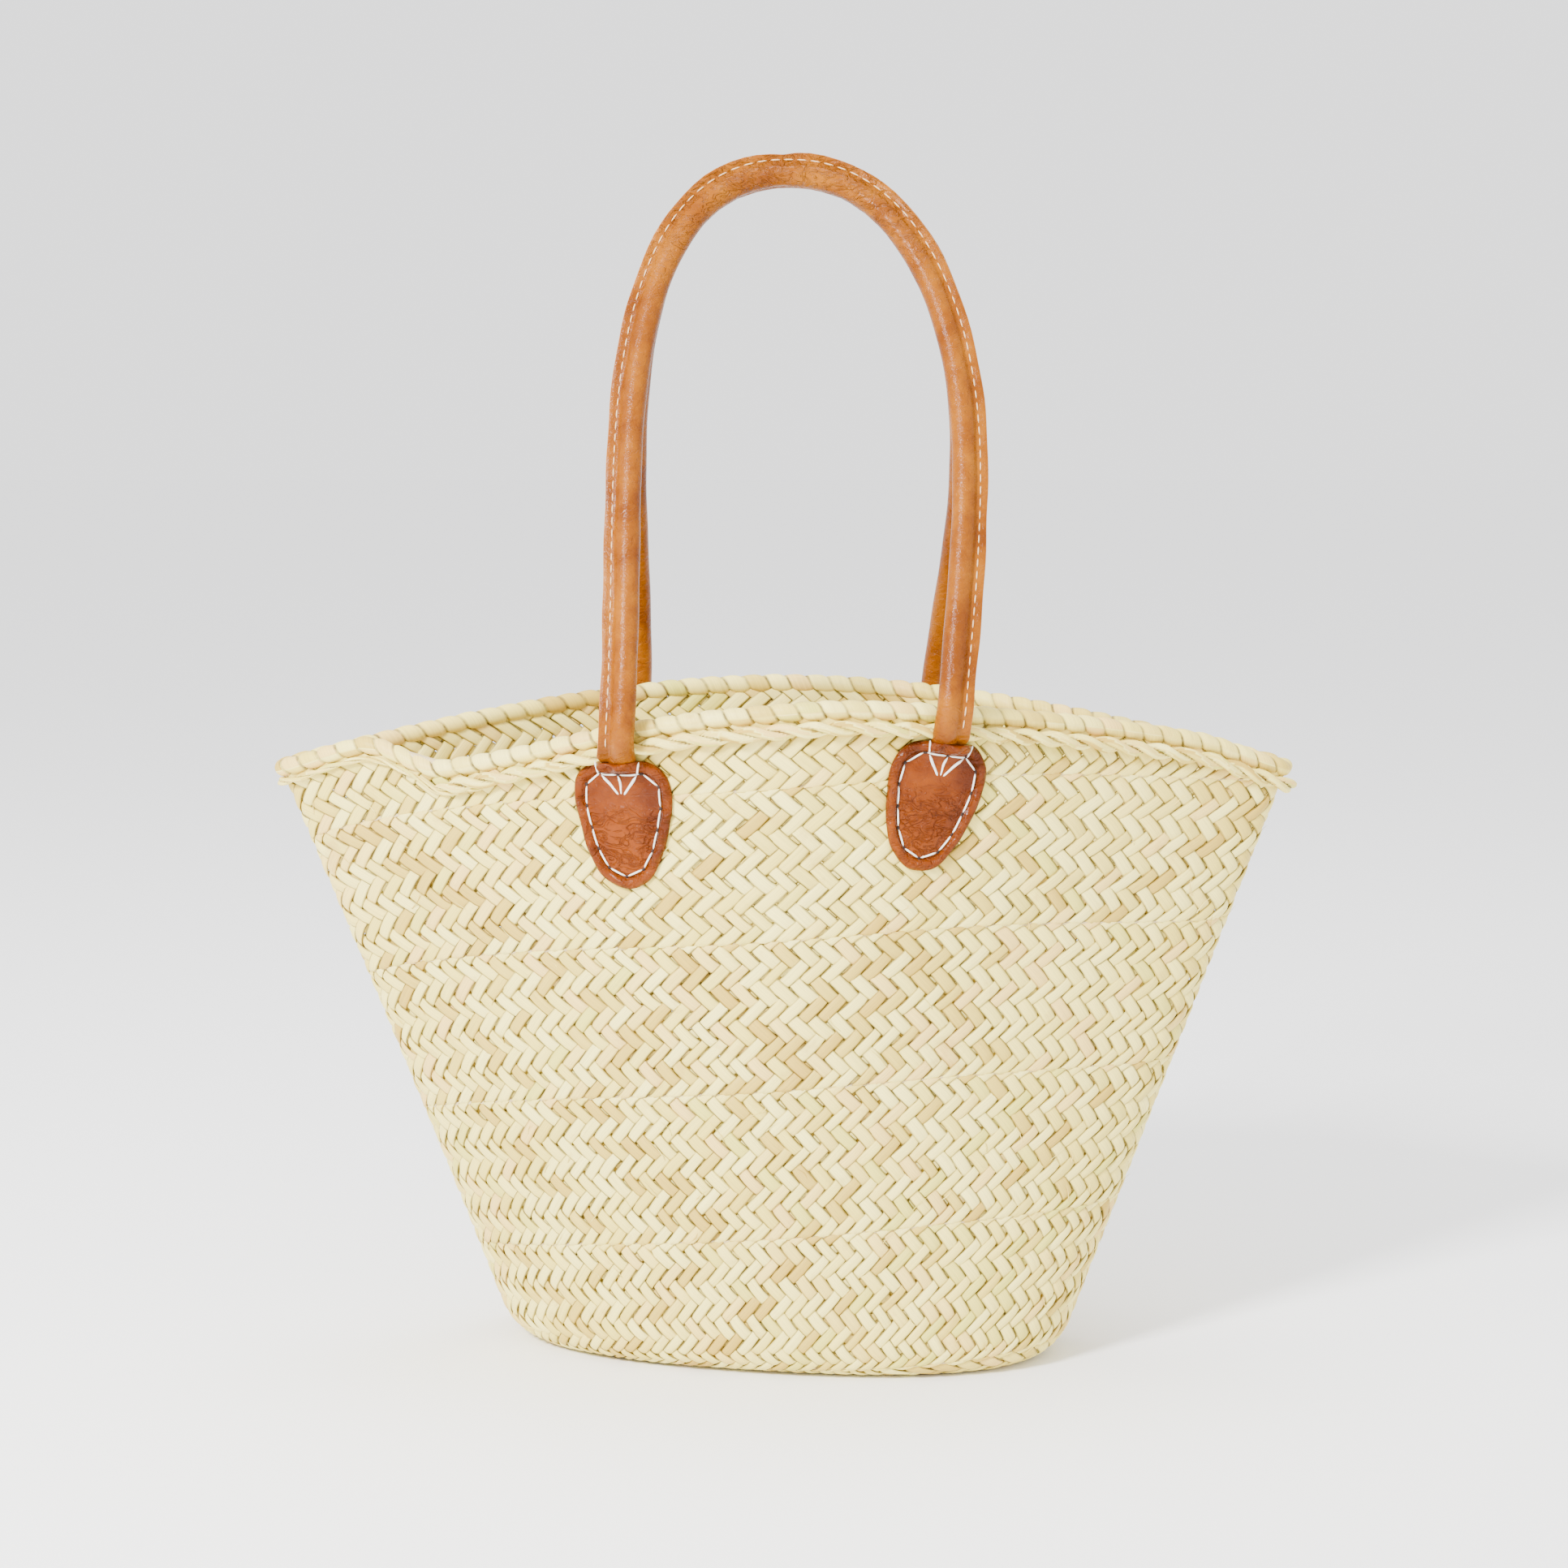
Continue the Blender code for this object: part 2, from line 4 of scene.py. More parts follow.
import bmesh
import bpy
import numpy as np
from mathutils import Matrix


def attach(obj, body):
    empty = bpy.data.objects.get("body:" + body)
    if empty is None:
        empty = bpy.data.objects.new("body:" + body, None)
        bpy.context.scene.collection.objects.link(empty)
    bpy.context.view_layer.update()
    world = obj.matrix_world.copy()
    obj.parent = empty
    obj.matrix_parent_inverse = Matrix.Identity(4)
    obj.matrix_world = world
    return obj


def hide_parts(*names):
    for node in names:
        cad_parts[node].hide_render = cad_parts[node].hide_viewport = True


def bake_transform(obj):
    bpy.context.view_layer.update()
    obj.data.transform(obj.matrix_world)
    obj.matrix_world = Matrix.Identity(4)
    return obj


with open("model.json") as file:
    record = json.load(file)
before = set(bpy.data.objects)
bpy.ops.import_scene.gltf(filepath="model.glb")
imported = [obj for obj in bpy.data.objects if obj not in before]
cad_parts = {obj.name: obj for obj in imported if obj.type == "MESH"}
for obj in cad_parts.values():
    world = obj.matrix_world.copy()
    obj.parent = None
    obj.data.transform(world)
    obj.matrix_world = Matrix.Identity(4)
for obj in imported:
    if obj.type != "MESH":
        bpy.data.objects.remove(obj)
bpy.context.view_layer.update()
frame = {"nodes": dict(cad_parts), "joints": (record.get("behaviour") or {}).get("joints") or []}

# ---------------------------------------------------------------- the room
# White paper under the basket in a bright, even room, with a key light from the left, a weak fill from the
# right and one light overhead, seen from a little above the rim. None of it belongs to the basket.

CAMERA_DISTANCE = 1.8275
CAMERA_HEIGHT = 0.4974
CAMERA_PITCH = math.radians(6.5)
CAMERA_LENS = 82.9
FLOOR_SIZE = 30
ROOM_BRIGHTNESS = 2.0
LIT_POINT = (0, 0, 0.3)


def linear(code):
    """The linear colour of an sRGB hex value."""
    parts = [int(code[i : i + 2], 16) / 255 for i in (1, 3, 5)]
    return (*[p / 12.92 if p <= 0.04045 else ((p + 0.055) / 1.055) ** 2.4 for p in parts], 1)


def new_material(name):
    """A material's (material, tree, shader)."""
    material = bpy.data.materials.new(name)
    material.use_nodes = True
    return material, material.node_tree, material.node_tree.nodes["Principled BSDF"]


camera_data = bpy.data.cameras.new("camera")
camera_data.lens = CAMERA_LENS
camera = bpy.data.objects.new("camera", camera_data)
camera.location = (0, -CAMERA_DISTANCE, CAMERA_HEIGHT)
camera.rotation_euler = (math.pi / 2 - CAMERA_PITCH, 0, 0)
bpy.context.scene.collection.objects.link(camera)
bpy.context.scene.camera = camera

# Matt white background paper: even, no gloss.
paper, tree, shader = new_material("background_paper")
shader.inputs["Base Color"].default_value = linear("#FCFCFC")
shader.inputs["Roughness"].default_value = 0.9
shader.inputs["Specular IOR Level"].default_value = 0.1

bpy.ops.object.select_all(action="DESELECT")
bpy.ops.mesh.primitive_plane_add(size=FLOOR_SIZE, location=(0, 0, 0))
floor = bpy.context.object
floor.name = "floor"
floor.data.materials.append(paper)

world = bpy.data.worlds.new("room")
bpy.context.scene.world = world
world.use_nodes = True
background = world.node_tree.nodes["Background"]
background.inputs["Color"].default_value = linear("#FBFBFC")
background.inputs["Strength"].default_value = ROOM_BRIGHTNESS


def soft_box(name, place, size, power):
    """A square area light that faces the basket."""
    data = bpy.data.lights.new(name, "AREA")
    data.size = size
    data.energy = power
    light = bpy.data.objects.new(name, data)
    light.location = place
    aim = np.array(LIT_POINT) - np.array(place)
    flat = math.hypot(aim[0], aim[1])
    light.rotation_euler = (math.atan2(flat, -aim[2]), 0, math.atan2(aim[1], aim[0]) - math.pi / 2)
    bpy.context.scene.collection.objects.link(light)


soft_box("key_light", (-1.3, -1.9, 1.7), 0.5, 190)
soft_box("fill_light", (1.9, -1.5, 1.0), 1.4, 9)
soft_box("top_light", (0, 0.4, 2.4), 1.0, 30)

# ---------------------------------------------------------------- plaited strip
# One long strip of palm leaf, plaited over two and under two, coiled from the middle of the floor to the
# rim. The strands lie in rows that slant one way and then the other. Its edges are laced together.

FLOOR_HALF_LENGTH = 0.141
FLOOR_HALF_DEPTH = 0.077
FLOOR_SQUARENESS = 2.26
FLOOR_TWIST = math.radians(-12.8)
MOUTH_HALF_LENGTH = 0.2545
MOUTH_HALF_DEPTH = 0.1055
MOUTH_ROUNDNESS = 0.37
RIM_END_HEIGHT = 0.298
RIM_RISE = 0.034
RIM_RISE_POWER = 1.86
CORNER_REACH = 0.018
STEP_TOP_X, STEP_FOOT_X, STEP_END_X = -0.212, -0.168, -0.030
STEP_LIFT, STEP_DROP = 0.0035, 0.014
CLIMB_START_X, CLIMB_TOP_X, CLIMB_EASE_X = -0.060, 0.040, 0.205
CLIMB = 0.0055
PLAIT_WIDTH = 0.07599
PLAIT_THICKNESS = 0.004
FIRST_SEAM = 0.05662
SPIRAL_START = math.radians(221)
SMALL_STEP = 1e-4


def smoothstep(low, high, value):
    share = np.clip((value - low) / (high - low), 0, 1)
    return share * share * (3 - 2 * share)


def signed_power(value, power):
    return np.sign(value) * np.abs(value) ** power


def mix(first, second, share):
    return first + (second - first) * np.asarray(share)[..., None]


def twisted(x, y):
    """A point of the floor, which is turned a little against the mouth."""
    c, s = math.cos(FLOOR_TWIST), math.sin(FLOOR_TWIST)
    return np.stack([x * c - y * s, x * s + y * c, 0 * x + PLAIT_THICKNESS / 2], -1)


def floor_line(angle):
    """(corner, ridge): where the floor would meet the wall if it weren't rounded, and the nearest point
    to it on the seam along the middle of the floor."""
    x = FLOOR_HALF_LENGTH * signed_power(np.cos(angle), 2 / FLOOR_SQUARENESS)
    y = FLOOR_HALF_DEPTH * signed_power(np.sin(angle), 2 / FLOOR_SQUARENESS)
    reach = FLOOR_HALF_LENGTH - FLOOR_HALF_DEPTH
    return twisted(x, y), twisted(np.clip(x, -reach, reach), 0 * y)


def rim_line(angle):
    """The centre of the rim roll: a lens in plan, higher in the middle than at the ends."""
    x = MOUTH_HALF_LENGTH * np.cos(angle)
    lens = (1 + np.cos(np.pi * np.cos(angle))) / 2
    y = (1 - MOUTH_ROUNDNESS) * np.sign(np.sin(angle)) * lens + MOUTH_ROUNDNESS * np.sin(angle)
    z = RIM_END_HEIGHT + RIM_RISE * (1 - np.abs(np.cos(angle)) ** RIM_RISE_POWER)
    fall = smoothstep(STEP_TOP_X, STEP_FOOT_X, x)
    lift = STEP_LIFT * smoothstep(-MOUTH_HALF_LENGTH, STEP_TOP_X, x) * (1 - fall)
    drop = STEP_DROP * fall * (1 - smoothstep(STEP_FOOT_X, STEP_END_X, x))
    climb = CLIMB * smoothstep(CLIMB_START_X, CLIMB_TOP_X, x)
    climb = climb * (1 - smoothstep(CLIMB_EASE_X, MOUTH_HALF_LENGTH, x))
    z = z + np.where(np.sin(angle) < 0, lift - drop + climb, 0)
    return np.stack([x, MOUTH_HALF_DEPTH * y, z], -1)


def wall_length(angle):
    """How far up the wall the rim is from the corner line."""
    return np.linalg.norm(rim_line(angle) - floor_line(angle)[0], axis=-1)


def shell_point(angle, height):
    """A point on the middle of the plait. height runs up the wall from the corner line, or in over the
    floor where it is negative."""
    corner, ridge = floor_line(angle)
    rim = rim_line(angle)
    length = np.linalg.norm(rim - corner, axis=-1)
    on_floor = mix(ridge, corner, 1 + np.minimum(height, 0) / FLOOR_HALF_DEPTH)
    on_wall = mix(corner, rim, np.maximum(height, 0) / length)
    share = np.clip((height + CORNER_REACH) / (2 * CORNER_REACH), 0, 1)
    low = mix(mix(ridge, corner, 1 - CORNER_REACH / FLOOR_HALF_DEPTH), corner, share)
    high = mix(corner, mix(corner, rim, CORNER_REACH / length), share)
    turn = mix(low, high, share)
    point = np.where((height <= -CORNER_REACH)[..., None], on_floor, turn)
    return np.where((height >= CORNER_REACH)[..., None], on_wall, point)


def shell_frame(angle, height):
    """(point, direction round the basket, direction up the surface, outward normal)."""
    angle, height = np.broadcast_arrays(np.asarray(angle, float), np.asarray(height, float))
    step = SMALL_STEP
    around = shell_point(angle + step, height) - shell_point(angle - step, height)
    rise = shell_point(angle, height + step) - shell_point(angle, height - step)
    normal = np.cross(around, rise)
    normal /= np.linalg.norm(normal, axis=-1, keepdims=True)
    around /= np.linalg.norm(around, axis=-1, keepdims=True)
    return shell_point(angle, height), around, np.cross(normal, around), normal


def distance_along(line):
    """The distance along a line of points to each of them."""
    return np.concatenate([[0], np.cumsum(np.linalg.norm(np.diff(line, axis=0), axis=1))])


def make_mesh_object(name, points, faces, material, body, **attributes):
    """A piece from its points and faces, turned outwards, with point attributes for its material. It rides
    on a body if one is given."""
    mesh = bpy.data.meshes.new(name)
    mesh.from_pydata(np.asarray(points).tolist(), [], [list(map(int, face)) for face in faces])
    for key, values in attributes.items():
        values = np.asarray(values, dtype=np.float32)
        kind = "FLOAT" if values.ndim == 1 else "FLOAT_VECTOR"
        layer = mesh.attributes.new(key, kind, "POINT")
        layer.data.foreach_set("value" if values.ndim == 1 else "vector", values.ravel())
    shape = bmesh.new()
    shape.from_mesh(mesh)
    bmesh.ops.recalc_face_normals(shape, faces=shape.faces)
    shape.to_mesh(mesh)
    shape.free()
    mesh.materials.append(material)
    mesh.shade_smooth()
    obj = bpy.data.objects.new(name, mesh)
    bpy.context.scene.collection.objects.link(obj)
    if body:
        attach(obj, body)
    return obj


def sheet_faces(rows, columns, closed_rows=False, closed_columns=False):
    """Quads over a grid of points, row by row. A closed grid joins its last row or column to the first."""
    i, j = np.meshgrid(
        np.arange(rows if closed_rows else rows - 1),
        np.arange(columns if closed_columns else columns - 1),
        indexing="ij",
    )
    after_i, after_j = (i + 1) % rows, (j + 1) % columns
    quads = [i * columns + j, i * columns + after_j, after_i * columns + after_j, after_i * columns + j]
    return np.stack([quad.ravel() for quad in quads], -1)


# Strip coordinates: turns counts round the basket from the floor outwards, and rows across the strip
ROWS = 16
# The strip is plaited tighter at the floor than from this height up
HALF_PITCH_LOW, HALF_PITCH_HIGH = 0.0038, 0.0055
WIDE_FROM = 0.30
FIRST_TURN, LAST_TURN = -3, 4
STRAND_FILL = 0.492
FLOAT_HEIGHT = 0.00100
STRAND_EDGE, STRAND_CROWN = 0.00016, 0.00060
STRAND_MARGIN = 0.001
LAP_SAMPLES = 2000
TURN_SAMPLES = 400

angles = SPIRAL_START + math.tau * np.arange(LAP_SAMPLES + 1) / LAP_SAMPLES
middles = (floor_line(angles)[0] + rim_line(angles)) / 2
lengths = distance_along(middles)
turn_share = lengths / lengths[-1]


def seam_height(turns):
    """The height of the strip's lower edge when it has made this many turns."""
    whole = np.floor(turns)
    share = np.interp(turns - whole, np.arange(LAP_SAMPLES + 1) / LAP_SAMPLES, turn_share)
    return FIRST_SEAM + PLAIT_WIDTH * (whole + share)


def strip_angle(turns):
    """The angle round the basket after this many turns."""
    return SPIRAL_START + math.tau * turns


# The number of half pitches along the strip at each number of turns
turn_steps = np.linspace(FIRST_TURN, LAST_TURN, (LAST_TURN - FIRST_TURN) * TURN_SAMPLES + 1)
middle_heights = np.maximum(seam_height(turn_steps) + PLAIT_WIDTH / 2, -FLOOR_HALF_DEPTH * 0.6)
track = shell_point(strip_angle(turn_steps), middle_heights)
half_pitch = HALF_PITCH_LOW + (HALF_PITCH_HIGH - HALF_PITCH_LOW) * np.clip(middle_heights / WIDE_FROM, 0, 1)
paces = np.linalg.norm(np.diff(track, axis=0), axis=1) / half_pitch[1:]
step_count = np.concatenate([[0], np.cumsum(paces)])


def turns_at(steps):
    """The number of turns made after this many half pitches."""
    return np.interp(steps, step_count, turn_steps)


def strip_height(steps, rows):
    """The height of a place on the strip."""
    return seam_height(turns_at(steps)) + PLAIT_WIDTH * rows / ROWS


def inside_basket(steps, rows):
    """True where the strip lies between the middle of the floor and the rim."""
    height = strip_height(steps, rows)
    top = wall_length(strip_angle(turns_at(steps))) - STRAND_MARGIN
    return (height > -FLOOR_HALF_DEPTH + STRAND_MARGIN) & (height < top)


def strand_spans(starts, slant):
    """(first row, last row) that each strand covers, or a span of no length where it isn't there."""
    rows = np.linspace(-0.5, ROWS + 0.5, 171)
    steps = starts[:, None] + slant * rows[None, :]
    good = inside_basket(steps, np.broadcast_to(rows, steps.shape))
    good &= (steps > 0) & (steps < step_count[-1])
    first = rows[np.argmax(good, axis=1)]
    last = rows[len(rows) - 1 - np.argmax(good[:, ::-1], axis=1)]
    return first, np.where(good.any(axis=1), last, first)


# A strand's section, round its edge: places across it and the side that each faces
SECTION_ACROSS = np.array([-1, -0.6, 0, 0.6, 1, 0.6, 0, -0.6])
SECTION_SIDE = np.array([0, 1, 1, 1, 0, -1, -1, -1])
SAMPLES = 38
# How strands differ: width and float as shares of the usual, drift and wander in rows, lean in metres
NARROW_SHARE = 0.12
NARROW_WIDTH, USUAL_WIDTH = (0.78, 0.9), (0.95, 1.02)
FLOAT_SHARE = (0.85, 1.1)
DRIFT, WANDER = 0.05, 0.035
LEAN = 0.00020
# A strand goes over and under in a cycle of four rows, and turns over steeply between two floats
CYCLE_ROWS = 4
STEEPNESS = 2.5
# It slants, so it is this much longer than the rows that it crosses
SLANT_LENGTH = 1.45


def weave(starts, slant, chance):
    """(points, grain, number of the turn) of all strands that slant one way. Grain is the distance along a
    strand, the place across it and its tone."""
    first, last = strand_spans(starts, slant)
    keep = last - first > 0.8
    starts, first, last = starts[keep], first[keep], last[keep]
    count = len(starts)
    narrow = chance.random(count) < NARROW_SHARE
    wide = np.where(narrow, chance.uniform(*NARROW_WIDTH, count), chance.uniform(*USUAL_WIDTH, count))
    proud = chance.uniform(*FLOAT_SHARE, count)
    drift = chance.uniform(-DRIFT, DRIFT, count)
    tone = chance.uniform(0, 1, count)
    along = first[:, None] + (last - first)[:, None] * np.linspace(0, 1, SAMPLES)
    sidle = drift[:, None] + WANDER * np.sin(along * 1.3 + tone[:, None] * 60)
    across = STRAND_FILL * wide[:, None, None] * SECTION_ACROSS + sidle[:, :, None]
    rows = np.clip(along[:, :, None] + across, -0.05, ROWS + 0.05)
    steps = starts[:, None, None] + slant * (along[:, :, None] - across)
    wave = np.cos(math.tau * (along - 0.5) / CYCLE_ROWS)
    swing = slant * np.tanh(STEEPNESS * wave) / np.tanh(STEEPNESS) * proud[:, None]
    # It lies flat where it ends
    edge = np.minimum(along - first[:, None], last[:, None] - along)
    swing *= smoothstep(-0.8, 0.3, edge)
    crown = STRAND_EDGE + STRAND_CROWN * (1 - SECTION_ACROSS**2)
    lift = FLOAT_HEIGHT * swing[:, :, None] + SECTION_SIDE * crown
    lean = chance.normal(0, LEAN, count)[:, None] * np.cos(along * 0.9 + tone[:, None] * 40)
    lift = lift + lean[:, :, None] * SECTION_ACROSS
    turns = turns_at(steps)
    height = seam_height(turns) + PLAIT_WIDTH * rows / ROWS
    point, _, _, normal = shell_frame(strip_angle(turns), height)
    points = point + normal * lift[..., None]
    length = np.broadcast_to(along[:, :, None] * PLAIT_WIDTH / ROWS * SLANT_LENGTH, lift.shape)
    # At a strand's edges the place across it reaches 1, where the leaf material paints shade for the gaps
    place = np.broadcast_to(SECTION_ACROSS, lift.shape)
    shade = np.broadcast_to(tone[:, None, None], lift.shape)
    number = np.floor(turns_at(starts + slant * (first + last) / 2)).astype(int)
    return points, np.stack([length, place, shade], -1), number


def tube_faces(rows, columns):
    """Faces of a tube of points, row by row, with its two ends closed."""
    sides = sheet_faces(rows, columns, closed_columns=True).tolist()
    start = list(range(columns))
    finish = [(rows - 1) * columns + i for i in reversed(range(columns))]
    return [[q[0], q[3], q[2], q[1]] for q in sides] + [start, finish]


def add(tree, kind, inputs=None, **settings):
    """A new node with its settings. An input's value may be another node's output, which is linked."""
    node = tree.nodes.new(kind)
    for key, value in settings.items():
        setattr(node, key, value)
    for key, value in (inputs or {}).items():
        if isinstance(value, bpy.types.NodeSocket):
            tree.links.new(value, node.inputs[key])
        else:
            node.inputs[key].default_value = value
    return node


def leaf_material(name, tones, roughness, edge_from):
    """Palm leaf, split, dried and left raw: pale straw with a soft waxy sheen, and fine veins along each
    strand. Strands differ in tone, and some are stained or still green."""
    material, tree, shader = new_material(name)
    grain = add(tree, "ShaderNodeAttribute", attribute_name="grain")
    parts = add(tree, "ShaderNodeSeparateXYZ", {"Vector": grain.outputs["Vector"]})
    length, place, shade = (parts.outputs[axis] for axis in ("X", "Y", "Z"))
    ramp = add(tree, "ShaderNodeValToRGB", {"Fac": shade})
    ramp.color_ramp.elements.remove(ramp.color_ramp.elements[1])
    ramp.color_ramp.elements[0].color = linear(tones[0][1])
    ramp.color_ramp.elements[0].position = tones[0][0]
    for position, code in tones[1:]:
        ramp.color_ramp.elements.new(position).color = linear(code)
    # Veins 0.4 mm apart run along the strand
    vein_place = add(tree, "ShaderNodeCombineXYZ")
    for axis, value, scale in (("X", length, 30), ("Y", place, 9), ("Z", shade, 90)):
        scaled = add(tree, "ShaderNodeMath", {0: value, 1: scale}, operation="MULTIPLY")
        tree.links.new(scaled.outputs[0], vein_place.inputs[axis])
    veins = add(
        tree, "ShaderNodeTexNoise", {"Vector": vein_place.outputs[0], "Scale": 1.0, "Detail": 3.0}
    )
    streaks = add(
        tree,
        "ShaderNodeMapRange",
        {"Value": veins.outputs["Fac"], "From Min": 0.3, "From Max": 0.7, "To Min": 0.86, "To Max": 1.06},
    )
    streaked = add(
        tree,
        "ShaderNodeVectorMath",
        {0: ramp.outputs["Color"], 1: streaks.outputs["Result"]},
        operation="MULTIPLY",
    )
    # Stains a centimetre or two long
    position = add(tree, "ShaderNodeTexCoord")
    stain_noise = add(
        tree,
        "ShaderNodeTexNoise",
        {"Vector": position.outputs["Object"], "Scale": 55.0, "Detail": 4.0, "Roughness": 0.6},
    )
    stain = add(
        tree,
        "ShaderNodeMapRange",
        {"Value": stain_noise.outputs["Fac"], "From Min": 0.60, "From Max": 0.78, "To Max": 0.45},
    )
    stained = add(
        tree,
        "ShaderNodeMix",
        {"Factor": stain.outputs["Result"], 6: streaked.outputs[0], 7: linear("#B98F48")},
        data_type="RGBA",
    )
    # The split edges are browner, and in patches much darker: painted shade for the gaps between strands
    reach = add(tree, "ShaderNodeMath", {0: place}, operation="ABSOLUTE")
    rim = add(
        tree,
        "ShaderNodeMapRange",
        {"Value": reach.outputs[0], "From Min": edge_from, "From Max": 1.0},
    )
    patchy = add(tree, "ShaderNodeTexNoise", {"Vector": position.outputs["Object"], "Scale": 130.0})
    gap_shade_patches = add(
        tree,
        "ShaderNodeMapRange",
        {"Value": patchy.outputs["Fac"], "From Min": 0.40, "From Max": 0.62, "To Min": 0.40, "To Max": 1.0},
    )
    edge_share = add(
        tree,
        "ShaderNodeMath",
        {0: rim.outputs["Result"], 1: gap_shade_patches.outputs["Result"]},
        operation="MULTIPLY",
    )
    # Painted shade: noisy patches of the edges go dark brown where the strands part
    edged = add(
        tree,
        "ShaderNodeMix",
        {"Factor": edge_share.outputs[0], 6: stained.outputs[2], 7: linear("#3A2206")},
        data_type="RGBA",
    )
    tree.links.new(edged.outputs[2], shader.inputs["Base Color"])
    bump = add(
        tree,
        "ShaderNodeBump",
        {"Height": veins.outputs["Fac"], "Strength": 0.35, "Distance": 0.0004},
    )
    tree.links.new(bump.outputs[0], shader.inputs["Normal"])
    shader.inputs["Roughness"].default_value = roughness
    shader.inputs["IOR"].default_value = 1.45
    shader.inputs["Specular IOR Level"].default_value = 0.22
    return material


LEAF_TONES = [
    (0.0, "#C9A746"),
    (0.18, "#EAD368"),
    (0.5, "#FCEC8C"),
    (0.72, "#F4DF76"),
    (0.88, "#EFCB72"),
    (1.0, "#DDD262"),
]
split_leaf = leaf_material("split_palm_leaf", LEAF_TONES, 0.45, 0.74)

chance = np.random.default_rng(7)
# Strands of one slant start two half pitches apart, from before the strip's start to past its end
strand_starts = np.arange(-20, int(step_count[-1]) + 20, 2.0)
layers = [weave(strand_starts, slant, chance) for slant in (1, -1)]
# Three quads close each end of a strand
near_end = np.array([[0, 1, 2, 7], [7, 2, 3, 6], [6, 3, 4, 5]])
far_end = near_end[:, ::-1] + (SAMPLES - 1) * len(SECTION_ACROSS)
strand_faces = np.concatenate([tube_faces(SAMPLES, len(SECTION_ACROSS))[:-2], near_end, far_end])
strand_size = SAMPLES * len(SECTION_ACROSS)
for number in range(FIRST_TURN, LAST_TURN):
    points, grain, faces, base = [], [], [], 0
    for layer_points, layer_grain, layer_number in layers:
        chosen = np.flatnonzero(layer_number == number)
        points.append(layer_points[chosen].reshape(-1, 3))
        grain.append(layer_grain[chosen].reshape(-1, 3))
        firsts = base + strand_size * np.arange(len(chosen))
        faces.append((strand_faces + firsts[:, None, None]).reshape(-1, 4))
        base += strand_size * len(chosen)
    name = f"plait_turn_{number - FIRST_TURN + 1}"
    turn = make_mesh_object(
        f"woven_{name}",
        np.concatenate(points),
        np.concatenate(faces),
        split_leaf,
        "basket",
        grain=np.concatenate(grain),
    )
    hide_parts(name)

# Here and there a fibre has split away from a strand and stands off the weave
FRAY_COUNT = 150
FRAY_REACH = (0.006, 0.014)
FRAY_LIFT = (0.0006, 0.0022)
FRAY_BOW = 0.002
FRAY_TONE = 0.4
SLIVER_RADIUS = 0.00016
SLIVER_WIDTH = 1.8
SLIVER_ROWS, SLIVER_SIDES = 7, 3
# About how far a radian is round the basket
METRES_PER_RADIAN = 0.16

sliver_points, sliver_faces, sliver_grain = [], [], []
sliver_size = SLIVER_ROWS * SLIVER_SIDES
share = np.linspace(0, 1, SLIVER_ROWS)
for fray in range(FRAY_COUNT):
    angle = chance.uniform(0, math.tau)
    height = chance.uniform(0.02, 0.93) * float(wall_length(np.array([angle]))[0])
    slant = chance.choice([-1, 1]) * chance.uniform(0.5, 0.9)
    reach = chance.uniform(*FRAY_REACH)
    bow = chance.uniform(-FRAY_BOW, FRAY_BOW) * np.sin(math.pi * share)
    lift = PLAIT_THICKNESS / 2 - 0.0004 + chance.uniform(*FRAY_LIFT) * share**2
    sideways = (slant * reach * share + bow) / METRES_PER_RADIAN
    point, around, _, normal = shell_frame(angle + sideways, height + reach * share * 0.8)
    middle = point + normal * lift[:, None]
    size = SLIVER_RADIUS * (1.05 - share**3)
    flank = around * (size * SLIVER_WIDTH)[:, None]
    corners = [middle + flank, middle + normal * size[:, None], middle - flank]
    sliver_points.append(np.stack(corners, 1).reshape(-1, 3))
    first = sliver_size * fray
    sliver_faces += [[first + corner for corner in face] for face in tube_faces(SLIVER_ROWS, SLIVER_SIDES)]
    tone = chance.uniform(0, 1)
    length = np.repeat(share * reach, SLIVER_SIDES)
    sliver_grain.append(
        np.stack([length, np.full(sliver_size, FRAY_TONE), np.full(sliver_size, tone)], -1)
    )
frayed = make_mesh_object(
    "frayed_fibres",
    np.concatenate(sliver_points),
    sliver_faces,
    split_leaf,
    "basket",
    grain=np.concatenate(sliver_grain),
)

# ---------------------------------------------------------------- lacing cords
# A thin twisted palm cord is threaded through the edge loops of neighbouring turns and pulls them
# together. It lies inside the plait and shows only where the loops part.

twisted_cord, tree, shader = new_material("twisted_palm_cord")
position = add(tree, "ShaderNodeTexCoord")
fibres = add(
    tree, "ShaderNodeTexNoise", {"Vector": position.outputs["Object"], "Scale": 900.0, "Detail": 2.0}
)
cord_tones = add(tree, "ShaderNodeValToRGB", {"Fac": fibres.outputs["Fac"]})
cord_tones.color_ramp.elements[0].color = linear("#B8995F")
cord_tones.color_ramp.elements[1].color = linear("#E6D6A8")
cord_bump = add(tree, "ShaderNodeBump", {"Height": fibres.outputs["Fac"], "Distance": 0.0004})
tree.links.new(cord_tones.outputs[0], shader.inputs["Base Color"])
tree.links.new(cord_bump.outputs[0], shader.inputs["Normal"])
shader.inputs["Roughness"].default_value = 0.8


def refinish(node, material):
    """Gives a CAD piece, whose shape is right, a better material."""
    for slot in frame["nodes"][node].material_slots:
        slot.material = material


for node in frame["nodes"]:
    if node.startswith("seam_cord") or node.endswith("_core"):
        refinish(node, twisted_cord)

# ---------------------------------------------------------------- rim roll
# A bundle of leaf lies along the top edge and is whipped with split leaf. Each wrap slants over the roll
# and tucks under the one before it.

ROLL_RADIUS = 0.0047
WRAP_PITCH = 0.0115
WRAP_SAMPLES = 18
ROUND_SAMPLES = 28
RIM_SAMPLES = 4000
# A wrap's radius, as shares of the roll's: where it is tucked under, and how much more it stands up
WRAP_TUCK, WRAP_SWELL = 0.68, 0.37

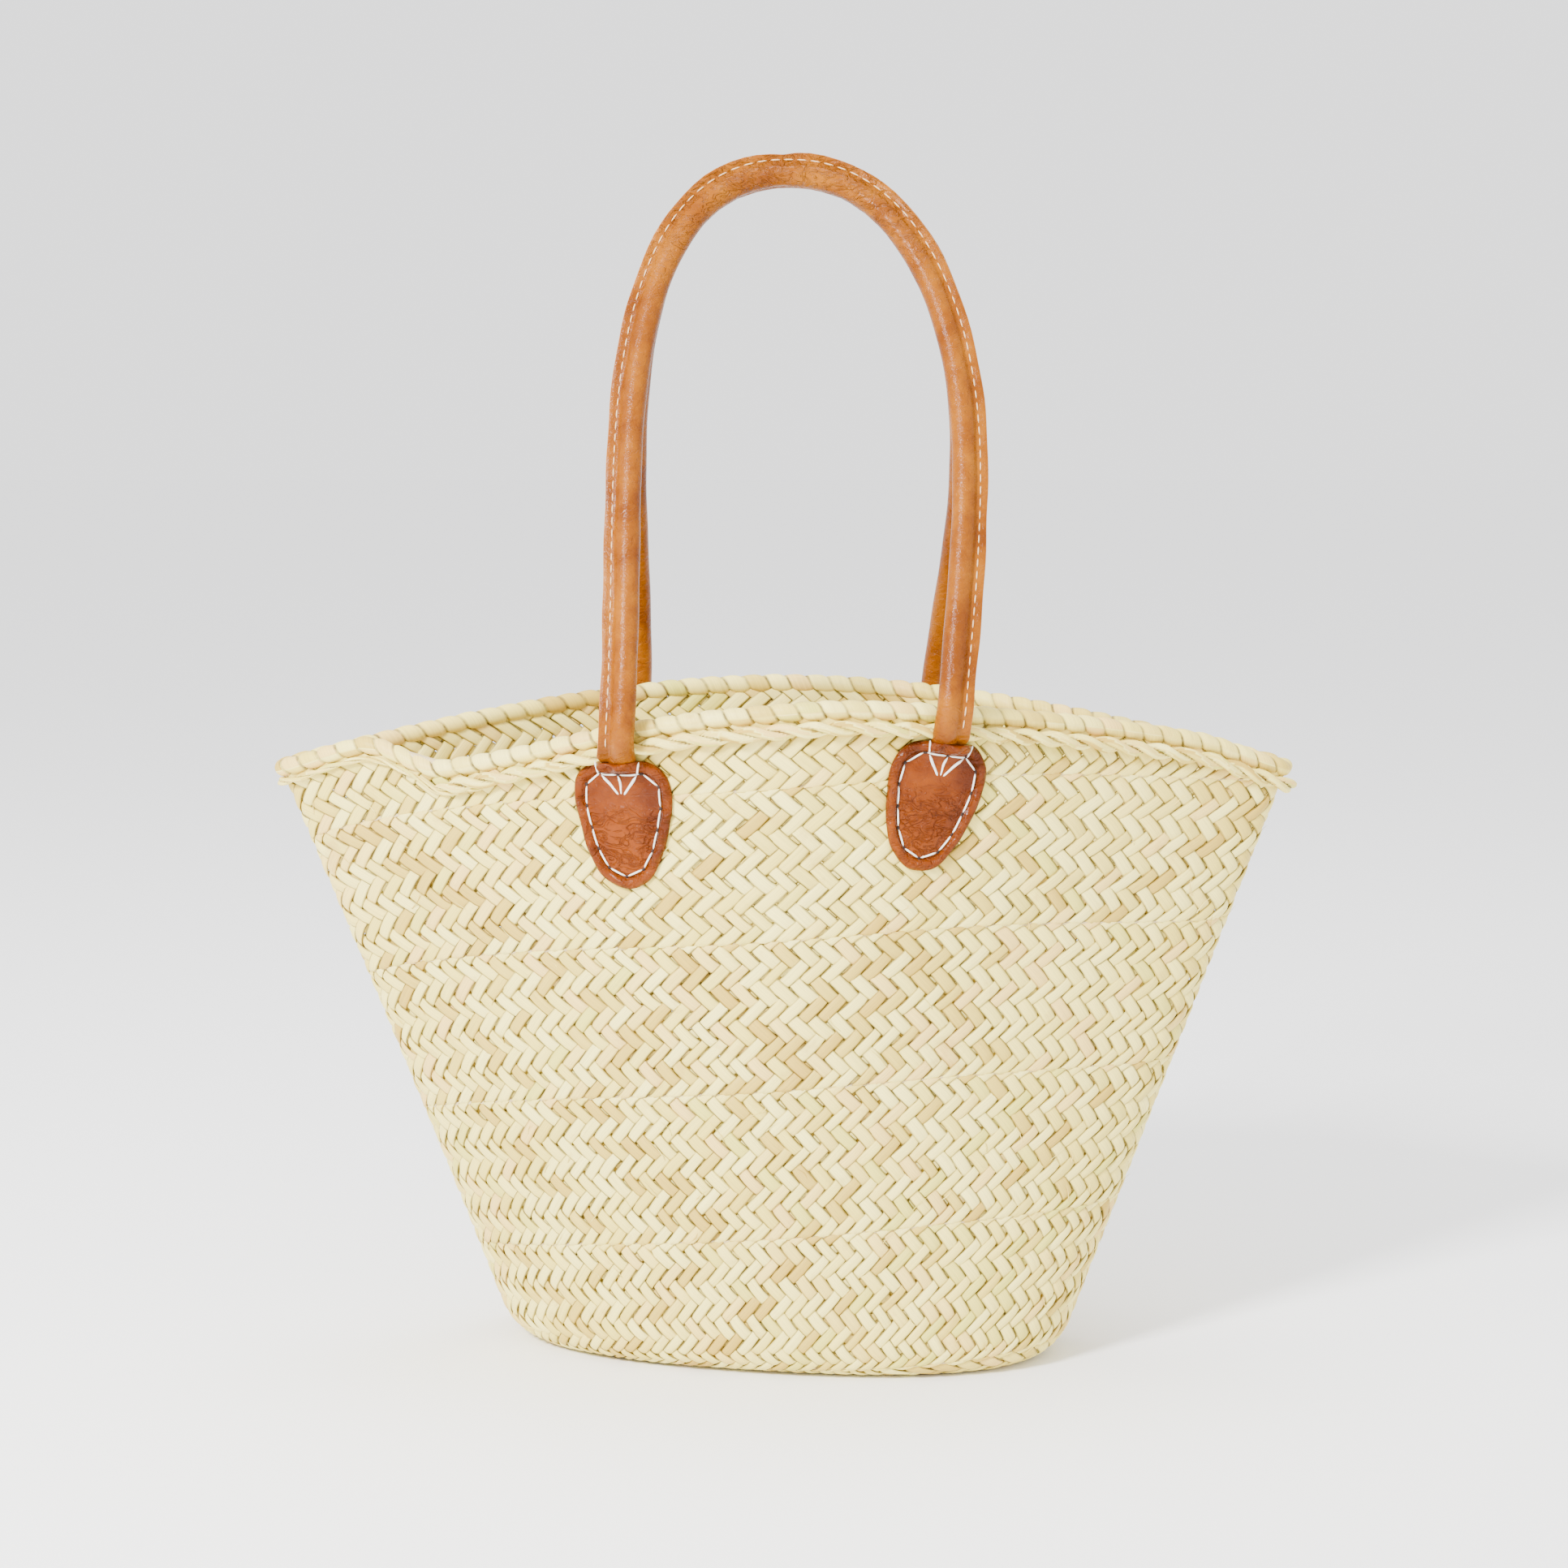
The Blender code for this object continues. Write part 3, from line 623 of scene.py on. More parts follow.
rim_angles = SPIRAL_START + math.tau * np.arange(RIM_SAMPLES + 1) / RIM_SAMPLES
rim_track = rim_line(rim_angles)
rim_arc = distance_along(rim_track)


def rim_frame(arc):
    """(centre, outward, up the wall) along the rim roll, by distance from the strip's end."""
    laps = np.floor(arc / rim_arc[-1])
    angle = np.interp(arc - laps * rim_arc[-1], rim_arc, rim_angles)
    _, _, rise, normal = shell_frame(angle, wall_length(angle) - 0.002)
    return rim_line(angle), normal, rise


def rings_about(centre, first, second, first_reach, second_reach):
    """A ring of points about each point of a line, so far along two directions that cross the line."""
    return (
        centre[:, None]
        + first[:, None] * first_reach[..., None]
        + second[:, None] * second_reach[..., None]
    )


wrap_count = round(rim_arc[-1] / WRAP_PITCH)
arc = np.arange(wrap_count * WRAP_SAMPLES) / (wrap_count * WRAP_SAMPLES) * rim_arc[-1]
centre, outward, rise = rim_frame(arc)
turn = math.tau * np.arange(ROUND_SAMPLES) / ROUND_SAMPLES
phase = arc[:, None] / rim_arc[-1] * wrap_count + turn[None, :] / math.tau
wrap = np.floor(phase).astype(int) % wrap_count
part = phase - np.floor(phase)
wrap_tone = chance.uniform(0, 1, wrap_count)
wrap_size = chance.uniform(0.92, 1.06, wrap_count)
plump = (1 - (1 - part) ** 5) * (1 - 0.60 * part**2.6)
radius = ROLL_RADIUS * (WRAP_TUCK + WRAP_SWELL * plump * wrap_size[wrap])
points = rings_about(centre, outward, rise, radius * np.cos(turn), radius * np.sin(turn))
length = np.broadcast_to(turn * ROLL_RADIUS, phase.shape)
whipped_leaf = leaf_material("whipped_palm_leaf", LEAF_TONES, 0.42, 0.78)
# Across a wrap the grain runs out to its edges where it meets the next wrap: browner leaf edges and painted
# shade in the joins
roll = make_mesh_object(
    "whipped_rim",
    points.reshape(-1, 3),
    sheet_faces(len(arc), ROUND_SAMPLES, True, True)[:, ::-1],
    whipped_leaf,
    "basket",
    grain=np.stack([length, np.abs(2 * part - 1), wrap_tone[wrap]], -1).reshape(-1, 3),
)
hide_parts("rim_wrap")

# ---------------------------------------------------------------- rim rope
# Two thick plies of leaf twisted together are laced on under the roll. The rope starts at the left of the
# front, and after one lap it thins out and ends under its own beginning.

ROPE_RADIUS = 0.0043
PLY_SHARE = 0.57
LAY_LENGTH = 0.031
ROPE_START_X, ROPE_END_X = -0.172, -0.147
THIN_FROM, THIN_TO = 0.80, 0.93
THIN_SHARE = 0.42
PLY_ROUND = 14
ROPE_STEP = 0.0017
START_TAPER, END_TAPER = 0.012, 0.006
# Each ply is folded from three leaves, which turn with half its twist and are spliced every 9 cm
PLY_LEAVES = 3
LEAF_LAY = 0.5
TONE_LENGTH = 0.09

front = rim_angles[(rim_angles > math.pi) & (rim_angles < math.tau)]
front_x = rim_line(front)[:, 0]
front_arc = np.interp(front, rim_angles, rim_arc)
rope_start = np.interp(ROPE_START_X, front_x, front_arc)
rope_end = np.interp(ROPE_END_X, front_x, front_arc) + rim_arc[-1]
arc = np.arange(rope_start, rope_end, ROPE_STEP)
share = (arc - rope_start) / (rope_end - rope_start)
thin = 1 - (1 - THIN_SHARE) * smoothstep(THIN_FROM, THIN_TO, share)
start_taper = np.sqrt(np.clip((arc - rope_start) / START_TAPER, 0.02, 1))
end_taper = np.sqrt(np.clip((rope_end - arc) / END_TAPER, 0.02, 1))
rope_radius = ROPE_RADIUS * thin * start_taper * end_taper
under = smoothstep(rim_arc[-1] - 0.015, rim_arc[-1] + 0.005, arc - rope_start)
centre, outward, rise = rim_frame(arc)
drop = ROLL_RADIUS * 0.90 + ROPE_RADIUS * thin * 0.95 + under * ROPE_RADIUS * 1.40
away = PLAIT_THICKNESS / 2 + ROPE_RADIUS * thin * 0.8
rope_line = centre + outward * away[:, None] - rise * drop[:, None]
round_turn = math.tau * np.arange(PLY_ROUND) / PLY_ROUND
points, grain, faces = [], [], []
for ply in (0, 1):
    spin = -math.tau * arc / LAY_LENGTH + math.pi * ply
    ply_line = rope_line + (rope_radius * (1 - PLY_SHARE))[:, None] * (
        outward * np.cos(spin)[:, None] + rise * np.sin(spin)[:, None]
    )
    # The folds leave a ply not quite round, with creases along it
    leaf_turn = round_turn[None, :] - spin[:, None] * LEAF_LAY
    crease = 1 - 0.10 * np.abs(np.sin(PLY_LEAVES / 2 * leaf_turn + ply))
    swell = 1 + 0.05 * np.sin(arc * 410 + 2 * ply)
    size = (rope_radius * PLY_SHARE * swell)[:, None] * crease
    ring = rings_about(ply_line, outward, rise, size * np.cos(round_turn), size * np.sin(round_turn))
    leaf_part = leaf_turn * PLY_LEAVES / math.tau
    leaf = np.floor(leaf_part)
    part = leaf_part - leaf
    tone = 0.5 + 0.5 * np.sin(leaf * 2.4 + np.floor(arc / TONE_LENGTH)[:, None] * 1.7 + ply)
    points.append(ring.reshape(-1, 3))
    # Darker down in the groove between the two plies, which is painted shade, and at the browner leaf edges
    facing = np.cos(round_turn[None, :] - spin[:, None])
    groove_shade = np.maximum(np.abs(1.7 * part - 0.85), smoothstep(0.10, 0.60, -facing))
    length = np.broadcast_to(arc[:, None], part.shape)
    grain.append(np.stack([length, groove_shade, tone], -1).reshape(-1, 3))
    first = ply * ring[..., 0].size
    faces += [[first + corner for corner in face] for face in tube_faces(len(arc), PLY_ROUND)]
rope = make_mesh_object(
    "twisted_rope", np.concatenate(points), faces, whipped_leaf, "basket", grain=np.concatenate(grain)
)
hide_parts("rim_rope")

# ---------------------------------------------------------------- handles
# Each handle is a strip of vegetable-tanned leather rolled round a rope core. Its two edges meet on the
# outside of the loop in a flat flange that is machine sewn, and its ends run under the patches.

HANDLE_RADIUS = 0.006
FLANGE_WIDTH = 0.0055
FLANGE_HALF = 0.0012
HANDLE_SPACING = 0.156
SHOULDER_HALF_WIDTH = {"front": 0.0815, "back": 0.085}
SHOULDER_HEIGHT = 0.445
HANDLE_TOP = 0.595
HANDLE_SQUARENESS = 2.3
APEX_HALF_GAP = 0.001
LEAN_SOFTNESS = 0.12
HANDLE_SWAY = {"front": 0.0065, "back": 0.0075}
PATCH_BELOW_RIM = {
    "front_left": 0.0130,
    "front_right": 0.0135,
    "back_left": 0.0155,
    "back_right": 0.0155,
}
PATCH_TILT = {"front_left": 0, "front_right": 6, "back_left": -3, "back_right": 3}
# A handle's tail comes up from under its patch: how far below the patch's top edge, how far out from the
# middle of the plait, and how round it is there
TAIL_DEPTHS = np.array([0.0125, 0.009, 0.005, 0.0, -0.0045, -0.0085])
TAIL_LIFTS = np.array([0.0021, 0.0026, 0.0040, 0.0073, 0.0117, 0.0152])
TAIL_ROUNDNESS = np.array([0.10, 0.17, 0.33, 0.58, 0.80, 0.94])
HANDLE_SAMPLES = 420
HINGES = {joint["child"]: joint["pos_m"] for joint in frame["joints"]}


def patch_top(side, hand, angle):
    """The height up the wall of a patch's top edge."""
    return wall_length(angle) - PATCH_BELOW_RIM[f"{side}_{hand}"]


def patch_angle(side, hand):
    """The angle round the basket at which a patch's top is half the handle spacing from the centre."""
    low, high = (225, 315) if side == "front" else (45, 135)
    span = np.radians(np.linspace(low, high, 4001))
    x = shell_point(span, patch_top(side, hand, span))[:, 0]
    target = HANDLE_SPACING / 2 if hand == "right" else -HANDLE_SPACING / 2
    return span[np.argmin(np.abs(x - target))]


def patch_place(side, hand, across, depth, lift):
    """(point, normal) in a patch's own coordinates: across it, down from its top edge and out from the
    middle of the plait."""
    angle = patch_angle(side, hand)
    height = patch_top(side, hand, angle)
    tilt = math.radians(PATCH_TILT[f"{side}_{hand}"])
    facing = 1 if side == "front" else -1
    x = facing * across * math.cos(tilt) - depth * math.sin(tilt)
    y = -depth * math.cos(tilt) - facing * across * math.sin(tilt)
    near = np.array([angle - SMALL_STEP, angle + SMALL_STEP])
    ends = shell_point(near, np.array([height, height]))
    speed = np.linalg.norm(ends[1] - ends[0]) / (2 * SMALL_STEP)
    point, _, _, normal = shell_frame(angle + x / speed, height + y)
    return point + normal * np.asarray(lift)[..., None], normal


def smooth_line(points, count):
    """A smooth curve through the points, sampled at even steps along it."""
    points = np.asarray(points, float)
    ends = [2 * points[0] - points[1], *points, 2 * points[-1] - points[-2]]
    t = np.linspace(0, 1, 12, endpoint=False)[:, None]
    pieces = []
    for a, b, c, d in zip(ends, ends[1:], ends[2:], ends[3:]):
        curve = 2 * b + (c - a) * t + (2 * a - 5 * b + 4 * c - d) * t**2 + (3 * b - a - 3 * c + d) * t**3
        pieces.append(curve / 2)
    line = np.concatenate([*pieces, points[-1:]])
    length = distance_along(line)
    even = np.linspace(0, length[-1], count)
    return np.stack([np.interp(even, length, line[:, k]) for k in range(line.shape[1])], -1)


def handle_line(side):
    """Points along a handle from under its left patch, over the top, to under its right patch. The fourth
    number is how round the handle is there: it is pressed flat under the patches."""
    _, out, foot = HINGES[f"{side}_handle"]
    out = abs(out)
    apex = HANDLE_RADIUS + APEX_HALF_GAP
    share = np.linspace(0.03, 1, 17)
    width = HANDLE_SPACING / 2 + (SHOULDER_HALF_WIDTH[side] - HANDLE_SPACING / 2) * smoothstep(0, 1, share)
    leg = np.stack([width, foot + (SHOULDER_HEIGHT - foot) * share], -1)
    turn = np.linspace(0, math.pi / 2, 24)[1:]
    width = SHOULDER_HALF_WIDTH[side] * signed_power(np.cos(turn), 2 / HANDLE_SQUARENESS)
    rise = (HANDLE_TOP - SHOULDER_HEIGHT) * np.sin(turn) ** (2 / HANDLE_SQUARENESS)
    arch = np.stack([width, SHOULDER_HEIGHT + rise], -1)
    arch[-1, 0] = 0
    half = np.concatenate([leg, arch])
    flat = np.concatenate([half * [-1, 1], half[-2::-1]])
    share = (flat[:, 1] - foot) / (HANDLE_TOP - foot)
    lean = np.hypot(share, LEAN_SOFTNESS) - LEAN_SOFTNESS
    lean = lean / (math.hypot(1, LEAN_SOFTNESS) - LEAN_SOFTNESS)
    sway = HANDLE_SWAY[side] * np.sin(0.9 * np.pi * share)
    facing = -1 if side == "front" else 1
    y = facing * (out + (apex - out) * lean)
    loop = np.stack([flat[:, 0] + sway, y, flat[:, 1], np.ones(len(flat))], -1)
    ends = []
    for hand in ("left", "right"):
        point, _ = patch_place(side, hand, np.zeros(len(TAIL_DEPTHS)), TAIL_DEPTHS, TAIL_LIFTS)
        # The wall faces a little sideways here, but the handle comes straight up out of the patch
        straight = math.copysign(HANDLE_SPACING / 2, point[0, 0])
        point[:, 0] = point[0, 0] + (straight - point[0, 0]) * np.linspace(0, 1, len(point))
        ends.append(np.column_stack([point, TAIL_ROUNDNESS]))
    foot_height = np.where(loop[:, 0] < 0, ends[0][-1, 2], ends[1][-1, 2])
    loop = loop[loop[:, 2] > foot_height + 0.005]
    return smooth_line(np.concatenate([ends[0], loop, ends[1][::-1]]), HANDLE_SAMPLES)


def handle_section():
    """The leather's outline round the core and out into the flange: (outward, across) and whether a point
    lies on the raw edge."""
    start = math.asin(FLANGE_HALF / HANDLE_RADIUS) + 0.10
    turns = np.linspace(start, math.tau - start, 25)
    tube = np.stack([HANDLE_RADIUS * np.cos(turns), HANDLE_RADIUS * np.sin(turns)], -1)
    tip = HANDLE_RADIUS + FLANGE_WIDTH
    # The flange is dented where its sewing pulls it in, and its raw edge is cut a little hollow
    runs = [HANDLE_RADIUS + 0.0006, HANDLE_RADIUS + 0.0018, HANDLE_RADIUS + 0.0036, tip - 0.0003]
    upper = np.stack([runs, [0.00135, 0.0011, 0.00125, 0.0011]], -1)
    raw = np.array([[tip, 0.0009], [tip - 0.0001, 0.0002], [tip - 0.0001, -0.0002], [tip, -0.0009]])
    outline = np.concatenate([raw[:2][::-1], upper[::-1], tube, upper * [1, -1], raw[2:][::-1]])
    is_raw = np.zeros(len(outline))
    is_raw[:2] = 1
    is_raw[-2:] = 1
    return outline, is_raw


def leather_material(name, low, middle, high, roughness, grain_scale):
    """Vegetable-tanned leather, dyed and lightly waxed: warm and uneven in tone, with a soft gloss, fine
    pores, and folds where it is creased. A cut edge shows its pale raw core."""
    material, tree, shader = new_material(name)
    position = add(tree, "ShaderNodeTexCoord").outputs["Object"]
    cloud = add(
        tree, "ShaderNodeTexNoise", {"Vector": position, "Scale": 42.0, "Detail": 5.0, "Roughness": 0.62}
    )
    tones = add(tree, "ShaderNodeValToRGB", {"Fac": cloud.outputs["Fac"]})
    tones.color_ramp.elements[0].color = linear(low)
    tones.color_ramp.elements[0].position = 0.36
    tones.color_ramp.elements[1].color = linear(high)
    tones.color_ramp.elements[1].position = 0.66
    tones.color_ramp.elements.new(0.5).color = linear(middle)
    raw = add(tree, "ShaderNodeAttribute", attribute_name="raw_edge")
    edged = add(
        tree,
        "ShaderNodeMix",
        {"Factor": raw.outputs["Fac"], 6: tones.outputs[0], 7: linear("#C98648")},
        data_type="RGBA",
    )
    crease = add(tree, "ShaderNodeAttribute", attribute_name="crease")
    stretch = add(tree, "ShaderNodeMapping", {"Vector": position, "Scale": (120, 120, 210)})
    folds = add(
        tree,
        "ShaderNodeTexNoise",
        {"Vector": stretch.outputs[0], "Scale": 1.0, "Detail": 4.0, "Distortion": 1.8},
    )
    fold_lines = add(
        tree,
        "ShaderNodeMapRange",
        {"Value": folds.outputs["Fac"], "From Min": 0.40, "From Max": 0.56},
    )
    depth = add(
        tree,
        "ShaderNodeMath",
        {0: fold_lines.outputs["Result"], 1: crease.outputs["Fac"]},
        operation="MULTIPLY",
    )
    pores = add(tree, "ShaderNodeTexVoronoi", {"Vector": position, "Scale": grain_scale})
    fine = add(
        tree,
        "ShaderNodeBump",
        {"Height": pores.outputs["Distance"], "Strength": 0.35, "Distance": 0.0003},
    )
    coarse = add(
        tree,
        "ShaderNodeBump",
        {"Height": depth.outputs[0], "Strength": 0.9, "Distance": 0.0016, "Normal": fine.outputs[0]},
    )
    shade = add(
        tree,
        "ShaderNodeMapRange",
        {"Value": cloud.outputs["Fac"], "To Min": roughness - 0.06, "To Max": roughness + 0.14},
    )
    tree.links.new(edged.outputs[2], shader.inputs["Base Color"])
    tree.links.new(coarse.outputs[0], shader.inputs["Normal"])
    tree.links.new(shade.outputs["Result"], shader.inputs["Roughness"])
    shader.inputs["IOR"].default_value = 1.45
    shader.inputs["Specular IOR Level"].default_value = 0.16
    shader.inputs["Coat Weight"].default_value = 0.03
    shader.inputs["Coat Roughness"].default_value = 0.25
    return material


handle_leather = leather_material("waxed_tan_leather", "#6C3400", "#804400", "#925400", 0.22, 1500)
patch_leather = leather_material("saddle_tan_leather", "#521F00", "#692C00", "#7A3700", 0.20, 1500)

# Off-white waxed linen thread: matt, with a faint twist.
linen, tree, shader = new_material("waxed_linen_thread")
position = add(tree, "ShaderNodeTexCoord")
twist = add(tree, "ShaderNodeTexNoise", {"Vector": position.outputs["Object"], "Scale": 1500.0})
thread_bump = add(tree, "ShaderNodeBump", {"Height": twist.outputs["Fac"], "Distance": 0.0002})
tree.links.new(thread_bump.outputs[0], shader.inputs["Normal"])
shader.inputs["Base Color"].default_value = linear("#F3EFE4")
shader.inputs["Roughness"].default_value = 0.65


def unit_vectors(vectors):
    return vectors / np.linalg.norm(vectors, axis=-1, keepdims=True)


def thread_parts(points, normal, radius, sides=8):
    """(points, faces) of one stitch: a round thread along a short line, thinner at its two ends."""
    points = np.asarray(points, float)
    along = unit_vectors(np.gradient(points, axis=0))
    beside = unit_vectors(np.cross(along, normal))
    upward = np.cross(beside, along)
    place = np.linspace(-1, 1, len(points))
    size = radius * np.sqrt(np.clip(1 - np.abs(place) ** 7, 0.05, 1))
    turns = math.tau * np.arange(sides) / sides
    size = size[:, None]
    ring = rings_about(points, beside, upward, size * np.cos(turns), size * np.sin(turns))
    return ring.reshape(-1, 3), tube_faces(len(points), sides)


def join_parts(parts):
    """(points, faces) of several parts as one."""
    points, faces, base = [], [], 0
    for part_points, part_faces in parts:
        points.append(part_points)
        faces += [[index + base for index in face] for face in part_faces]
        base += len(part_points)
    return np.concatenate(points), faces


SEWING_PITCH = 0.0061
SEWING_STITCH = 0.0045
SEWING_RADIUS = 0.00036
SEWING_REACH = 0.0017
SEWING_SAMPLES = 5
CORE_SHARE = 0.72
CORE_SIDES = 12
# The rope starts this far above the fold line
CORE_CLEAR = 0.026
# As shares of its radius, how much the roll is pinched in the middle and wrinkles round it
PINCH, PINCH_HALF_LENGTH = 0.10, 0.006
WRINKLE = 0.028

# The machine thread is a shade darker than the hand thread and has picked up the dye.
machine_thread, tree, shader = new_material("dyed_machine_thread")
shader.inputs["Base Color"].default_value = linear("#D9AE7C")
shader.inputs["Roughness"].default_value = 0.6

for side in ("front", "back"):
    line = handle_line(side)
    centre, roundness = line[:, :3], line[:, 3]
    along = unit_vectors(np.gradient(centre, axis=0))
    backward = np.broadcast_to([0.0, 1.0, 0.0], along.shape)
    in_plane = unit_vectors(np.cross(along, backward))
    foot = HINGES[f"{side}_handle"][2]
    upright = smoothstep(foot + 0.006, foot + 0.030, centre[:, 2])[:, None]
    sideways = np.sign(centre[:, :1] - centre[np.argmax(centre[:, 2]), 0]) * [1.0, 0.0, 0.0]
    outward = in_plane * upright + sideways * (1 - upright)
    outward = unit_vectors(outward - along * np.sum(outward * along, axis=1, keepdims=True))
    across = np.cross(outward, along)
    outline, is_raw = handle_section()
    travel = distance_along(centre)
    from_top = np.abs(travel - travel[np.argmax(centre[:, 2])])
    # The inside of the bend wrinkles where the roll is bent most, and the middle is pinched a little
    bent = 1 - smoothstep(0.03, 0.12, from_top)
    wrinkle = WRINKLE * bent * np.sin(travel * 1150 + 2.2 * np.sin(travel * 210))
    pinch = PINCH * np.exp(-((from_top / PINCH_HALF_LENGTH) ** 2))
    lumps = 0.018 * np.sin(travel * 160) + 0.014 * np.sin(travel * 61 + 1)
    inner = np.clip(-outline[:, 0] / HANDLE_RADIUS, 0, 1) ** 1.5
    swell = 1 + lumps[:, None] - pinch[:, None] + wrinkle[:, None] * (0.25 + inner[None, :])
    flat_out = outline[None, :, 0] * (1 + 0.28 * (1 - roundness[:, None])) * swell
    flat_across = outline[None, :, 1] * roundness[:, None] * swell
    flange = outline[:, 0] > HANDLE_RADIUS + 0.0004
    waver = 0.0005 * np.sin(travel * 97 + 1.3) + 0.0003 * np.sin(travel * 251)
    flat_across = flat_across + np.where(flange, 1, 0) * waver[:, None]
    tuck = smoothstep(0.3, 0.85, roundness)[:, None]
    flat_out = np.where(flange, HANDLE_RADIUS + (flat_out - HANDLE_RADIUS) * tuck, flat_out)
    points = rings_about(centre, outward, across, flat_out, flat_across)
    grid = points.shape[:2]
    cover = make_mesh_object(
        f"{side}_rolled_handle",
        points.reshape(-1, 3),
        [face[::-1] for face in tube_faces(*grid)],
        handle_leather,
        None,
        raw_edge=np.broadcast_to(is_raw, grid).ravel(),
        crease=np.broadcast_to((0.15 + 0.6 * bent)[:, None], grid).ravel(),
    )
    hinge = HINGES[f"{side}_handle"]
    cored = np.flatnonzero((roundness > 0.97) & (centre[:, 2] > hinge[2] + CORE_CLEAR))
    turns = math.tau * np.arange(CORE_SIDES) / CORE_SIDES
    strands = HANDLE_RADIUS * CORE_SHARE * (1 + 0.05 * np.cos(3 * turns - travel[cored, None] * 300))
    core_points = rings_about(
        centre[cored], outward[cored], across[cored], strands * np.cos(turns), strands * np.sin(turns)
    )
    core = make_mesh_object(
        f"{side}_rope_core",
        core_points.reshape(-1, 3),
        [face[::-1] for face in tube_faces(len(cored), CORE_SIDES)],
        twisted_cord,
        f"{side}_handle",
    )
    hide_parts(f"{side}_handle_core")
    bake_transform(cover)
    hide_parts(f"{side}_handle_cover", f"{side}_left_handle_end", f"{side}_right_handle_end")

    stitches = []
    start = travel[np.argmax(roundness > 0.99)] - 0.004
    finish = travel[-1] - start
    for begin in np.arange(start, finish, SEWING_PITCH):
        where = np.linspace(begin, begin + SEWING_STITCH, SEWING_SAMPLES)
        middle, out, over = (
            np.stack([np.interp(where, travel, values[:, k]) for k in range(3)], -1)
            for values in (centre, outward, across)
        )
        ride = np.interp(where, travel, waver)
        dip = 0.0004 * (np.abs(np.linspace(-1, 1, SEWING_SAMPLES)) ** 3)
        for face_side in (-1, 1):
            height = face_side * (0.00125 + SEWING_RADIUS * 0.5 - dip) + ride
            run = middle + out * (HANDLE_RADIUS + SEWING_REACH) + over * height[:, None]
            stitches.append(thread_parts(run, face_side * over, SEWING_RADIUS, 6))
    sewing = make_mesh_object(
        f"{side}_handle_sewing", *join_parts(stitches), machine_thread, f"{side}_handle"
    )
    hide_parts(f"{side}_handle_seam_thread")

# ---------------------------------------------------------------- leather patches
# A shield of thick leather with its edge turned under and padded holds each end of a handle. It is sewn
# through the wall with waxed thread to a thinner patch inside the basket.

PATCH_OUTLINE = [
    (0.0, 0.0), (0.010, -0.0002), (0.0165, 0.0015), (0.0215, 0.0052), (0.0248, 0.0105), (0.0260, 0.0180),
    (0.0252, 0.0270), (0.0236, 0.0370), (0.0203, 0.0470), (0.0150, 0.0562), (0.0080, 0.0622), (0.0, 0.0640),
]
PATCH_MIDDLE = np.array([0.0, 0.029])
PATCH_SEGMENTS = 132
# About how far a patch's edge is from its middle
EDGE_REACH = 0.03
# Heights are out from the middle of the plait, and insets are in from a patch's edge
PATCH_BACK, PATCH_BASE = 0.0010, 0.0016
HEM_WIDTH, HEM_HEIGHT = 0.0062, 0.0034
HEM_ROOT = HEM_WIDTH * 1.15
HEM_RINGS = 18
DEEPEST_INSET = 0.0205
FIELD_HEIGHT, FIELD_CROWN = 0.0010, 0.0012
TAIL_BULGE, TAIL_RIDGE = 0.0088, 0.0012
HEM_PUFF, PUFF_COUNT = 0.16, 14


def patch_outline():
    """Points round a patch's edge, as (across, depth), starting at the middle of its top."""
    left = [(-across, depth) for across, depth in PATCH_OUTLINE[-2:0:-1]]
    ring = PATCH_OUTLINE + left
    closed = smooth_line(ring[-3:] + ring + ring[:4], 12 * (len(ring) + 7))
    length = distance_along(closed)
    from_top = np.linalg.norm(closed - ring[0], axis=1)
    half = len(closed) // 2
    begin = length[np.argmin(from_top[:half])]
    again = length[half + np.argmin(from_top[half:])]
    even = begin + (again - begin) * np.arange(PATCH_SEGMENTS) / PATCH_SEGMENTS
    return np.stack([np.interp(even, length, closed[:, k]) for k in range(2)], -1)


outline = patch_outline()
outline_reach = np.linalg.norm(outline - PATCH_MIDDLE, axis=1, keepdims=True)


def patch_ring(inset):
    """A patch's outline, moved in towards its middle by a distance."""
    return outline + (PATCH_MIDDLE - outline) * (inset / outline_reach)


def patch_face(across, depth, inset):
    """How far the patch's face stands off the middle of the plait."""
    hem = np.clip(inset / HEM_WIDTH, 0, 1)
    round_hem = np.sqrt(np.clip(1 - (2 * hem - 0.9) ** 2 / 0.95, 0, 1))
    roll = HEM_HEIGHT * round_hem * (1 - smoothstep(0.80, 1.0, hem))
    field = FIELD_HEIGHT + FIELD_CROWN * smoothstep(HEM_WIDTH, HEM_WIDTH * 2.4, inset)
    # The handle's tail lifts the leather over it, most where it comes in at the top
    over = 1 - smoothstep(0.0060, 0.0140, np.abs(across))
    bulge = TAIL_BULGE * over * (1 - smoothstep(-0.002, 0.0125, depth))
    ridge = TAIL_RIDGE * over * (1 - smoothstep(0.010, 0.024, depth))
    return PATCH_BASE + np.maximum(roll, field * smoothstep(0.75, 1.0, hem)) + (bulge + ridge)


def closed_patch_faces(rings):
    """Faces over a patch's rings. A point in the middle of its face, the last but one, closes the last
    ring, and a point in the middle of its back closes the first."""
    faces = sheet_faces(rings, PATCH_SEGMENTS, closed_columns=True).tolist()
    last, hub = (rings - 1) * PATCH_SEGMENTS, rings * PATCH_SEGMENTS
    for i in range(PATCH_SEGMENTS):
        after = (i + 1) % PATCH_SEGMENTS
        faces.append([last + i, last + after, hub])
        faces.append([after, i, hub + 1])
    return faces


